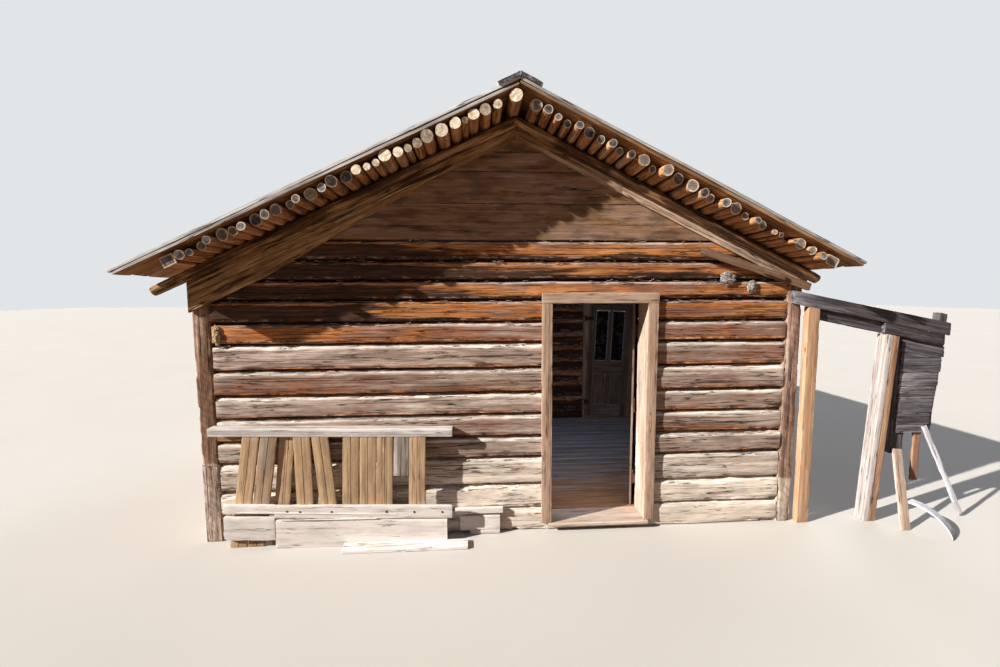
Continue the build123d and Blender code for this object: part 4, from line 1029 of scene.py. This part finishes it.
def wall_weather_and_shade(points, normals, luck):
    """Bleached at the foot, grey at eye height and brown under the eave; the sill's palest colour is partly
    a painted highlight of the sun on it. Painted shade: the darkest palette under the left half of the eave,
    where the roof's shadow falls, and inside the room.
    """
    level = np.interp(points[:, 2], *zip(*WALL_AGE))
    # Painted shade: the roof's shadow over the upper left of the front wall
    roof_shadow = np.interp(points[:, 2], (1.70, 1.90), (0, 1)) * np.interp(points[:, 0], (-1.3, -0.1), (1, 0))
    return np.where(indoors(points), INDOOR_SHADE, level - 0.50 * roof_shadow + 0.3 * (luck - 0.5))


def side_weather(points, normals, luck):
    """The other walls: grey brown, no more bleached than the sun on them allows, with painted shade inside
    the room.
    """
    level = np.interp(points[:, 2], (0, 0.4, 0.9, 1.6, 2.1), (0.62, 0.55, 0.48, 0.40, 0.25))
    return np.where(indoors(points), INDOOR_SHADE, level + 0.25 * (luck - 0.5))


def even(value, spread=0.2):
    def weather_and_light(points, normals, luck):
        return np.full(len(points), value + spread * (luck - 0.5))
    return weather_and_light


def roof_weather(points, normals, luck):
    """Grey on top and brown underneath; the front edges are pale on the left slope only."""
    edges = np.where(points[:, 0] < 0, 0.62, 0.12)
    under = np.where(normals[:, 1] < -0.8, edges, np.where(normals[:, 2] < -0.4, 0.0, 0.42))
    return under + 0.15 * (luck - 0.5)


def cover_weather(points, normals, luck):
    """The top layer: its front edge is bleached on the left slope and dark grey on the right one."""
    edges = np.where(points[:, 0] < 0, 1.1, 0.45)
    return np.where(normals[:, 1] < -0.8, edges, 0.45) + 0.1 * (luck - 0.5)


def pole_weather(points, normals, luck):
    """Brown inside the overhang. The ends are cream near the top of the left slope and grey elsewhere."""
    ends = np.abs(normals[:, 1]) > 0.9
    cream = (points[:, 0] > CREAM_ENDS[0]) & (points[:, 0] < CREAM_ENDS[1])
    return np.where(ends, np.where(cream, -0.2 + 0.25 * luck, 0.5 + 0.5 * luck), -0.1 + 0.3 * luck)


def upright_weather(points, normals, luck):
    """Pale at the foot, browner under the eave."""
    return np.interp(points[:, 2], (0, 0.6, 1.6, 2.5), (0.85, 0.55, 0.35, 0.15)) + 0.1 * (luck - 0.5)


def rake_weather_and_shade(points, normals, luck):
    """Painted shade on the left slope, which lies in shadow: brown mixed with the darkest palette; greyer
    where the sun reaches the right one.
    """
    return np.interp(points[:, 0], (-0.5, 0.3, 1.5), (-0.18, 0.35, 0.55)) + 0.1 * (luck - 0.5)


def bench_weather(points, normals, luck):
    """Tan boards, with two greyer ones where old boards were used again."""
    grey = [low <= points[:, 0].mean() <= high for low, high in GREY_BENCH_BOARDS]
    return np.full(len(points), 0.12 if grey[0] else 0.48 if grey[1] else -0.1 + 0.2 * luck)


def header_light_and_shade(points, normals, luck):
    """Painted light and shade: paler at its upper end, where patches of sun fall, and dark along the rest,
    which lies in the roof's shadow.
    """
    return np.interp(points[:, 0], (2.6, 2.9, 3.2), (0.6, 0.2, -0.1))


def left_post_weather(points, normals, luck):
    """The old post is red brown; its renewed foot is greyer."""
    return np.where(points[:, 2] < 0.70, 0.75, 0.10)


def right_post_weather(points, normals, luck):
    """Reddish grey, with a bleached foot."""
    return np.where(points[:, 2] < 0.42, 1.0, 0.30)


def rafter_painted_shade(points, normals, luck):
    """Painted shade: brown mixed with the darkest palette where the rafters lie in shadow, most of all on
    the right slope.
    """
    return np.interp(points[:, 0], (0.0, 0.4), (-0.24, -0.35))


def floor_wear_and_light(points, normals, luck):
    """Worn brown near the front door; pale and bluish at the far wall, a painted cool light there."""
    return np.interp(points[:, 1], (0.2, 1.2, 2.6), (0.0, 0.35, 1.1))


def brace_weather(points, normals, luck):
    """The board propped at the front is tan, the hanging one brown grey, the other two bleached."""
    middle = points.mean(0)
    if middle[0] < CORNER_X + 1.08:
        return np.full(len(points), 0.42)
    return np.full(len(points), 0.12 if middle[1] > -0.11 and middle[2] > 0.4 else 1.1)


TIMBERS = (
    # nodes, material, slot, style, outside, weathering with its painted light and shade
    ("sill_logs", "log", "log_wood", SILL, None, wall_weather_and_shade),
    ("front_left_logs front_right_logs front_upper_logs",
     "log", "log_wood", LOG_FRONT, FRONT, wall_weather_and_shade),
    ("back_left_logs back_right_logs back_upper_logs", "log", "log_wood", LOG_SIDE, BACK, side_weather),
    ("left_wall_logs", "log", "log_wood", LOG_SIDE, LEFT, side_weather),
    ("right_wall_logs", "log", "log_wood", LOG_SIDE, RIGHT, side_weather),
    ("front_left_post", "post", "post_wood", POST, None, left_post_weather),
    ("front_right_post", "post", "post_wood", POST, None, right_post_weather),
    ("back_left_post back_right_post", "post", "post_wood", POST, None, upright_weather),
    ("front_gable_boards", "gable", "gable_wood", GABLE, FRONT, even(0.18, 0.3)),
    ("back_gable_boards", "gable", "gable_wood", GABLE, BACK, even(0.4)),
    ("front_rake_boards", "rake", "gable_wood", BOARD, FRONT, rake_weather_and_shade),
    ("back_rake_boards", "rake", "gable_wood", BOARD, BACK, even(0.35)),
    ("front_rafters", "rake", "pole_wood", RAFTER, None, rafter_painted_shade),
    ("back_rafters", "pole", "pole_wood", RAFTER, None, even(0.4)),
    ("ridge_pole left_roof_poles right_roof_poles", "pole", "pole_wood", POLE, None, pole_weather),
    ("left_roof_boards right_roof_boards", "roof", "roof_board_wood", ROOF, None, roof_weather),
    ("left_roof_cover right_roof_cover", "roof", "roof_board_wood", ROOF, None, cover_weather),
    ("ridge_cap", "roof", "roof_board_wood", CAP, None, even(0.5, 0.3)),
    ("floor_joists", "floor", "floor_wood", PLAIN, None, even(0.2)),
    ("floor_boards", "floor", "floor_wood", FLOOR, None, floor_wear_and_light),
    ("front_door_casing", "trim", "trim_wood", SAWN, FRONT, even(0.4)),
    ("back_door_casing", "trim", "trim_wood", SAWN, BACK, even(0.45)),
    ("bench_shelf", "bench", "bench_wood", SHELF, None, even(0.95, 0)),
    ("bench_boards", "bench", "bench_wood", BENCH, None, bench_weather),
    ("base_planks", "plank", "plank_wood", SAWN, None, even(1.1)),
    ("corner_plank", "door", "gable_wood", SAWN, None, even(-0.1)),
    ("leanto_header", "grey", "grey_wood", SAWN, None, header_light_and_shade),
    ("leanto_beam", "grey", "grey_wood", SAWN, None, even(0.1)),
    ("leanto_prop", "fresh", "fresh_wood", SAWN, None, even(0.2)),
    ("leanto_battens", "grey", "grey_wood", SAWN, None, even(0.4)),
    ("leanto_panel", "grey", "grey_wood", PANEL, None, even(0.38)),
)
STEPPED = ("sill_logs", "front_rake_boards", "back_rake_boards", "floor_boards")


def loose_form(piece, points, triangles, seed, weather_and_light):
    """A bent solid, kept as it is but cut finer and roughened a little."""
    bm = bmesh.new()
    made = [bm.verts.new(p) for p in points]
    for triangle in triangles:
        bm.faces.new([made[i] for i in triangle])
    bmesh.ops.dissolve_limit(bm, angle_limit=radians(0.5), verts=bm.verts, edges=bm.edges)
    long_edges = [e for e in bm.edges if e.calc_length() > 0.05]
    bmesh.ops.subdivide_edges(bm, edges=long_edges, cuts=4, use_grid_fill=True)
    bmesh.ops.triangulate(bm, faces=bm.faces)
    bm.normal_update()
    bm.verts.index_update()
    where = np.array([v.co for v in bm.verts])
    normals = np.array([v.normal for v in bm.verts])
    faces = np.array([[v.index for v in f.verts] for f in bm.faces])
    bm.free()
    where = where + normals * (0.0008 * noise(where, (0.05, 0.05, 0.05), seed))[:, None]
    grain = where[:, [2, 0, 1]] + seed % 7
    wear = np.stack([np.full(len(where), 0.6), weather_and_light(where, normals, 0.6), np.zeros(len(where))], 1)
    piece.add(where, grain, wear, [faces], [0])


def timbers(node, material, slot, style, outside, weather_and_light):
    piece = Piece()
    for count, (points, triangles) in enumerate(solids_of(node)):
        seed = seed_of(node) + 17 * count
        own = style
        if node.endswith("roof_poles") and len(points) <= 8:
            own = SAWN
        if node == "leanto_jamb" and np.ptp(points[:, 1]) < 0.06:
            own = FACE
        cream = CREAM_ENDS[0] < points[:, 0].mean() < CREAM_ENDS[1]
        if style is POLE and cream:
            # The sun has to reach these cut ends, so they come as far forward as the roof boards
            points = points.copy()
            points[points[:, 1] < points[:, 1].min() + 0.01, 1] = ROOF_FRONT
        if is_convex(points, triangles):
            prism(piece, points, triangles, own, seed, weather_and_light, outside)
        elif node in STEPPED:
            stepped(piece, points, triangles, own, seed, weather_and_light, outside)
        else:
            loose_form(piece, points, triangles, seed, weather_and_light)
    piece.build(node + "_worn", MATERIALS[material], "cabin", slot, [node])


for nodes, material, slot, style, outside, weather_and_light in TIMBERS:
    for node in nodes.split():
        unseen = node.startswith("back_") or "_wall_" in node
        timbers(node, material, slot, style.coarser(UNSEEN_TIMES) if unseen else style, outside, weather_and_light)

FACE_BOARD = 0.034
PALE_STRIP = 0.044
jamb_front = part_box("leanto_jamb")[0][1]
jamb_points = np.concatenate([part[0] for part in solids_of("leanto_jamb")])
jamb_foot, jamb_top = jamb_points[:, 2].min(), jamb_points[:, 2].max()
jamb_left = [jamb_points[np.abs(jamb_points[:, 2] - z) < 0.06][:, 0].min() for z in (jamb_foot, jamb_top)]


def jamb_weather(points, normals, luck):
    """Silvered on its left side and on a strip of its face; the rest of the face is a brown board."""
    reach = points[:, 0] - np.interp(points[:, 2], (jamb_foot, jamb_top), jamb_left)
    face = (points[:, 1] < jamb_front + FACE_BOARD + 0.0005) & (normals[:, 0] > -0.7)
    return np.where(face, np.where(reach < PALE_STRIP, 1.2, -0.1), 0.475)


timbers("leanto_jamb", "jamb", "plank_wood", SPLIT, None, jamb_weather)
timbers("leanto_braces", "brace", "plank_wood", SAWN, None, brace_weather)


# Door frames, cut from the frame's own corners

THRESHOLD_INSET = 0.0006
INSET = 0.001


def levels(values):
    """The separate coordinates in a list, lowest first."""
    values = np.sort(values)
    keep = np.concatenate([[True], np.diff(values) > SEPARATE])
    return values[keep]


def door_frame(node, style, weather_and_light):
    """Jambs, head and threshold, and the stops behind the leaf where the frame has them."""
    piece = Piece()
    low, high = (np.array(corner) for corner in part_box(node))
    points = solids_of(node)[0][0]
    sill = levels(points[:, 2])[1]
    jambs = points[points[:, 2] > sill + 0.01]
    y0, y1 = jambs[:, 1].min(), jambs[:, 1].max()
    x_out0, x_out1 = jambs[:, 0].min(), jambs[:, 0].max()
    xs = levels(jambs[:, 0])
    zs = [z for z in levels(jambs[:, 2]) if z < high[2] - 0.005]
    head = zs[-1]
    boxes = [
        ((x_out0, y0, sill), (xs[1], y1, head)), ((xs[-2], y0, sill), (x_out1, y1, head)),
        ((x_out0, y0, head), (x_out1, y1, high[2])),
        ((low[0] + THRESHOLD_INSET, low[1], low[2]), (high[0] - THRESHOLD_INSET, high[1], sill)),
    ]
    if len(xs) > 4:
        ys = levels(jambs[:, 1])
        stop_x, stop_z = xs[2:-2], (zs[0], zs[-2])
        for x_low, x_high in ((xs[1], stop_x[0]), (stop_x[-1], xs[-2])):
            boxes.append(((x_low, ys[1], sill), (x_high, ys[2], head)))
        for z_low, z_high in ((sill, stop_z[0]), (stop_z[1], head)):
            boxes.append(((xs[1], ys[1] + INSET, z_low), (xs[-2], ys[2] - INSET, z_high)))
    for count, (a, b) in enumerate(boxes):
        prism(piece, *box_part(a, b), style, seed_of(node) + 31 * count, weather_and_light)
    piece.build(node + "_worn", MATERIALS["trim"], "cabin", "trim_wood", [node])


door_frame("front_door_frame", SAWN, even(0.75, 0.1))
door_frame("back_door_frame", SAWN.coarser(UNSEEN_TIMES), even(0.2))

# Door leaves, built in the leaf's own frame and turned into place

FRONT_DOOR_TURN = radians(68)
BACK_LEAF_LEAN = radians(2.5)
BEAD = 0.011
BOARDS = 5
BOARD_GAP = 0.0008
LAP = 0.0003
BAR_HALF = 0.006
GLASS_CLEARANCE = 0.0026
joints = {joint["name"]: joint for joint in frame["joints"]}


def local_points(node, matrix):
    points = np.concatenate([part[0] for part in solids_of(node)])
    back = np.array(matrix.inverted())
    return points @ back[:3, :3].T + back[:3, 3]


hinge = Vector(joints["front_door_hinge"]["pos_m"])
leaf = Matrix.Translation(hinge) @ Matrix.Rotation(FRONT_DOOR_TURN, 4, "Z")
points = local_points("front_door", leaf)
low, high = points.min(0), points.max(0)
board_face = levels(points[:, 1])[1]
ledge_levels = levels(points[points[:, 1] < low[1] + TOUCH][:, 2])
piece = Piece()
for count in range(BOARDS):
    a, b = (low[0] + (high[0] - low[0]) * number / BOARDS for number in (count, count + 1))
    prism(piece, *box_part((a + BOARD_GAP, board_face, low[2]), (b - BOARD_GAP, high[1], high[2])), BOARD,
          seed_of("front_door") + count, even(0.3), spread=leaf)
for count in range(0, len(ledge_levels) - 1, 2):
    foot, top = ledge_levels[count:count + 2]
    prism(piece, *box_part((low[0], low[1], foot), (high[0], board_face, top)), BOARD,
          seed_of("front_door") + 50 + count, even(0.2), spread=leaf)
piece.build("front_door_worn", MATERIALS["door"], "front_door", "door_wood", ["front_door"])

hinge = Vector(joints["back_door_hinge"]["pos_m"])
leaf = Matrix.Translation(hinge) @ Matrix.Rotation(BACK_LEAF_LEAN, 4, "Y")
points = local_points("back_door", leaf)
low, high = points.min(0), points.max(0)
outer = points[points[:, 1] < low[1] + TOUCH]
xs, zs = levels(outer[:, 0]), levels(outer[:, 2])
y0, y1 = low[1], high[1]
middle = (y0 + y1) / 2
parts = [((xs[0], y0, zs[0]), (xs[1], y1, zs[5])), ((xs[4], y0, zs[0]), (xs[5], y1, zs[5]))]
for a, b in ((0, 1), (2, 3), (4, 5)):
    parts.append(((xs[1] + LAP, y0 + INSET, zs[a]), (xs[4] - LAP, y1 - INSET, zs[b])))
for a, b in ((1, 2), (3, 4)):
    parts.append(((xs[2], y0 + INSET, zs[a] + LAP), (xs[3], y1 - INSET, zs[b] - LAP)))
for a, b in ((1, 2), (3, 4)):
    parts.append(((xs[a], middle - BAR_HALF, zs[1]), (xs[b], middle + BAR_HALF, zs[2])))
piece = Piece()
for count, (a, b) in enumerate(parts):
    prism(piece, *box_part(a, b), BOARD, seed_of("back_door") + count, even(0.35), spread=leaf)
piece.build("back_door_worn", MATERIALS["door"], "back_door", "door_wood", ["back_door"])

# Painted beads that hold the panes
beads = Piece()
for a, b in ((1, 2), (3, 4)):
    left, right, foot, top = xs[a] + LAP, xs[b] - LAP, zs[3] + LAP, zs[4] - LAP
    front, back = y0 + 0.003, middle - GLASS_CLEARANCE
    for low_x, high_x, low_z, high_z in (
        (left, left + BEAD, foot, top),
        (right - BEAD, right, foot, top),
        (left + BEAD + LAP, right - BEAD - LAP, foot, foot + BEAD),
        (left + BEAD + LAP, right - BEAD - LAP, top - BEAD, top),
    ):
        prism(beads, *box_part((low_x, front, low_z), (high_x, back, high_z)), PLAIN,
              seed_of("beads") + beads.total, even(0.5), spread=leaf)
beads.build("back_door_beads", (PAINT, PAINT), "back_door", "door_wood")

# Iron and glass keep the frame's own shapes
for node, material in (
    ("front_door_straps", IRON), ("front_hinge_pins", IRON), ("back_door_straps", IRON),
    ("back_hinge_pins", IRON), ("back_door_glass", GLASS),
):
    mesh = frame["nodes"][node].data
    mesh.materials.clear()
    mesh.materials.append(material)


# Small things on the walls

def splinter_places():
    """Points along the top edges of the front logs, more of them under the eave."""
    rng = np.random.default_rng(11)
    for node in ("front_left_logs", "front_right_logs", "front_upper_logs"):
        for points, triangles in solids_of(node):
            low, high = points.min(0), points.max(0)
            per_metre = 7.0 if high[2] > 1.9 else 2.0
            count = rng.poisson(per_metre * (high[0] - low[0]))
            for x in rng.uniform(low[0] + 0.08, high[0] - 0.08, count):
                y = low[1] - rng.uniform(-0.003, 0.002)
                yield rng, Vector((x, y, high[2] - rng.uniform(0.0, 0.010)))


splinters = Piece()
for rng, place in splinter_places():
    half = (rng.uniform(0.010, 0.034), rng.uniform(0.001, 0.002), rng.uniform(0.0012, 0.0024))
    turn = Matrix.Rotation(rng.normal(0, 0.16), 4, "Y") @ Matrix.Rotation(rng.normal(0, 0.12), 4, "Z")
    prism(splinters, *box_part([-h for h in half], half), PLAIN, splinters.total + 5, even(0.45, 0.5),
          spread=Matrix.Translation(place) @ turn)
splinters.build("log_splinters", MATERIALS["brace"], "cabin", "log_wood")


def lump(name, low, high, colours, seed):
    """A tangled tuft that fills a box."""
    bm = bmesh.new()
    bmesh.ops.create_icosphere(bm, subdivisions=4, radius=1.0)
    where = np.array([v.co for v in bm.verts])
    size, middle = (np.array(high) - low) / 2, (np.array(high) + low) / 2
    reach = 0.80 + 0.50 * noise(where, (0.40, 0.40, 0.25), seed, 3)
    for vert, place in zip(bm.verts, where * np.clip(reach, 0.3, 1.0)[:, None] * size + middle):
        vert.co = place
    mesh = bpy.data.meshes.new(name)
    bm.to_mesh(mesh)
    bm.free()
    t = material_tree(name)
    place = t.new("TexCoord").outputs["Object"]
    fibre = t.noise(place, (60, 60, 160), 4.0, 0.7, 1.5)
    colour = t.stops(t.ramp(fibre, 0.36, 0.64), colours)
    mesh.materials.append(t.coat(colour, 0.95, fibre, 1.0, 0.012))
    mesh.shade_smooth()
    tuft = placed(name, mesh)
    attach(tuft, "cabin")


GREY_TUFT = ((72, 64, 60), (158, 150, 144), (232, 226, 220))
# The straw tuft is lighter than its straw: a painted sunlight, since it lies in the roof's shadow
STRAW_TUFT_AND_SUN = ((120, 92, 60), (214, 184, 138), (246, 228, 190))
upper_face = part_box("front_upper_logs")[0][1]
for count, (x0, x1, z0, z1, colours) in enumerate((
    (1.905, 2.075, 2.250, 2.395, GREY_TUFT), (2.166, 2.280, 2.185, 2.310, GREY_TUFT),
    (-2.552, -2.480, 1.745, 1.945, STRAW_TUFT_AND_SUN),
)):
    lump(f"tuft_{count + 1}", (x0, upper_face - 0.022, z0), (x1, upper_face + 0.02, z1), colours, 90 + count)


# Nail heads and slivers on the base planks, by their places on X and Z
NAILS = ((-1.943, 0.327), (-1.834, 0.322), (-1.566, 0.312), (-1.098, 0.296), (-0.857, 0.288),
         (-0.614, 0.279))
NAIL_RADIUS = 0.010
NAIL_SIDES = 12
NAIL_DEPTHS = (-0.0025, 0.004)
SLIVERS = ((-2.36, 0.333, -1.005, 0.270), (-1.991, 0.254, -1.177, 0.242))
plank_boxes = [(part[0].min(0), part[0].max(0)) for part in solids_of("base_planks")]


def plank_front(x, z):
    return min(low[1] for low, high in plank_boxes if low[0] < x < high[0] and low[2] < z < high[2])


slivers = Piece()
for count, (x0, z0, x1, z1) in enumerate(SLIVERS):
    place = Vector(((x0 + x1) / 2, plank_front(x1 - 0.3, NAILS[3][1]) - 0.003, (z0 + z1) / 2))
    turn = Matrix.Rotation(-np.arctan2(z1 - z0, x1 - x0), 4, "Y")
    half = ((x1 - x0) / 2, 0.0045, 0.0055)
    prism(slivers, *box_part([-h for h in half], half), BENCH, 340 + count, even(1.1),
          spread=Matrix.Translation(place) @ turn)
slivers.build("plank_slivers", MATERIALS["plank"], "cabin", "plank_wood")

nails = Piece()
for count, (x, z) in enumerate(NAILS):
    plank_face = plank_front(x, z)
    turns = [2 * pi * k / NAIL_SIDES for k in range(NAIL_SIDES)]
    points = np.array([(x + NAIL_RADIUS * cos(turn), plank_face + depth, z + NAIL_RADIUS * sin(turn))
                       for depth in NAIL_DEPTHS for turn in turns])
    triangles = []
    for k in range(1, NAIL_SIDES - 1):
        triangles += [(0, k, k + 1), (NAIL_SIDES, NAIL_SIDES + k + 1, NAIL_SIDES + k)]
    for k in range(NAIL_SIDES):
        after = (k + 1) % NAIL_SIDES
        triangles += [(k, NAIL_SIDES + k, after), (after, NAIL_SIDES + k, NAIL_SIDES + after)]
    prism(nails, points, np.array(triangles), PLAIN, 300 + count, even(0.5))
nails.build("plank_nails", (IRON, IRON), "cabin", "plank_wood")


# Floor, sky, lamps and camera

def floor_material():
    """A pale floor that throws back no more light than bare ground does."""
    t = material_tree("studio_floor")
    place = t.new("TexCoord").outputs["Object"]
    cloud = t.noise(place, (0.6, 0.6, 0.6), 3.0)
    pale = t.stops(cloud, ((202, 198, 192), (206, 202, 196), (210, 206, 200)))
    seen = t.new("LightPath").outputs["Is Camera Ray"]
    return t.coat(t.mix(seen, linear(BOUNCE_COLOUR), pale), 0.95)


bpy.ops.mesh.primitive_plane_add(size=120, location=(0, 10, -0.002))
floor = bpy.context.object
floor.name = "studio_floor"
floor.data.materials.append(floor_material())
floor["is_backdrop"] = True

world = bpy.data.worlds.new("studio")
bpy.context.scene.world = world
t = Tree(world)
sky = t.nodes["Background"]
sky.inputs["Color"].default_value = linear(SKY_COLOUR)
sky.inputs["Strength"].default_value = SKY_STRENGTH
backdrop = t.new("Background", Color=linear(BACKDROP_COLOUR), Strength=1.0)
path = t.new("LightPath").outputs
seen_through = t.math("MAXIMUM", path["Is Glossy Ray"], path["Is Transmission Ray"])
choice = t.new("MixShader")
for socket, source in zip(choice.inputs, (
    t.math("MAXIMUM", path["Is Camera Ray"], seen_through), sky.outputs[0], backdrop.outputs[0],
)):
    t.feed(socket, source)
t.feed(t.nodes["World Output"].inputs["Surface"], choice.outputs[0])


def lamp(name, kind, strength, colour, travel, up):
    """A lamp that shines the way of travel, and the object that holds it."""
    light = bpy.data.lights.new(name, kind)
    light.energy, light.color = strength, linear(colour)[:3]
    holder = placed(name, light)
    holder.rotation_euler = Vector(travel).to_track_quat("-Z", up).to_euler()
    return light, holder


lamp("sun", "SUN", SUN_STRENGTH, SUN_COLOUR, SUN_TRAVEL, "Y")[0].angle = radians(SUN_ANGLE)
lamp("fill", "SUN", FILL_STRENGTH, FILL_COLOUR, FILL_TRAVEL, "Y")[0].angle = radians(FILL_ANGLE)

# Daylight that comes in at the front doorway
doorway = [(a + b) / 2 for a, b in zip(*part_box("front_door_frame"))]
light, holder = lamp("room_light", "AREA", ROOM_LIGHT, ROOM_COLOUR, ROOM_LIGHT_TRAVEL, "Z")
light.shape = "RECTANGLE"
light.size, light.size_y = ROOM_LIGHT_SIZE
holder.location = (doorway[0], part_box("front_door_frame")[1][1] + 0.06, doorway[2] + 0.1)
holder.visible_camera = False

camera = bpy.data.cameras.new("camera")
camera.lens, camera.sensor_width = CAMERA_LENS, SENSOR_WIDTH
camera_object = placed("camera", camera)
turn = (Matrix.Rotation(radians(-CAMERA_YAW), 4, "Z") @ Matrix.Rotation(radians(90 - CAMERA_PITCH), 4, "X")
        @ Matrix.Rotation(radians(CAMERA_ROLL), 4, "Z"))
camera_object.matrix_world = Matrix.Translation(CAMERA_AT) @ turn
bpy.context.scene.camera = camera_object
bpy.context.scene.view_settings.view_transform = "Standard"

low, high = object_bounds()
{"cad": [list(corner) for corner in cad_box], "visual": [list(low), list(high)]}
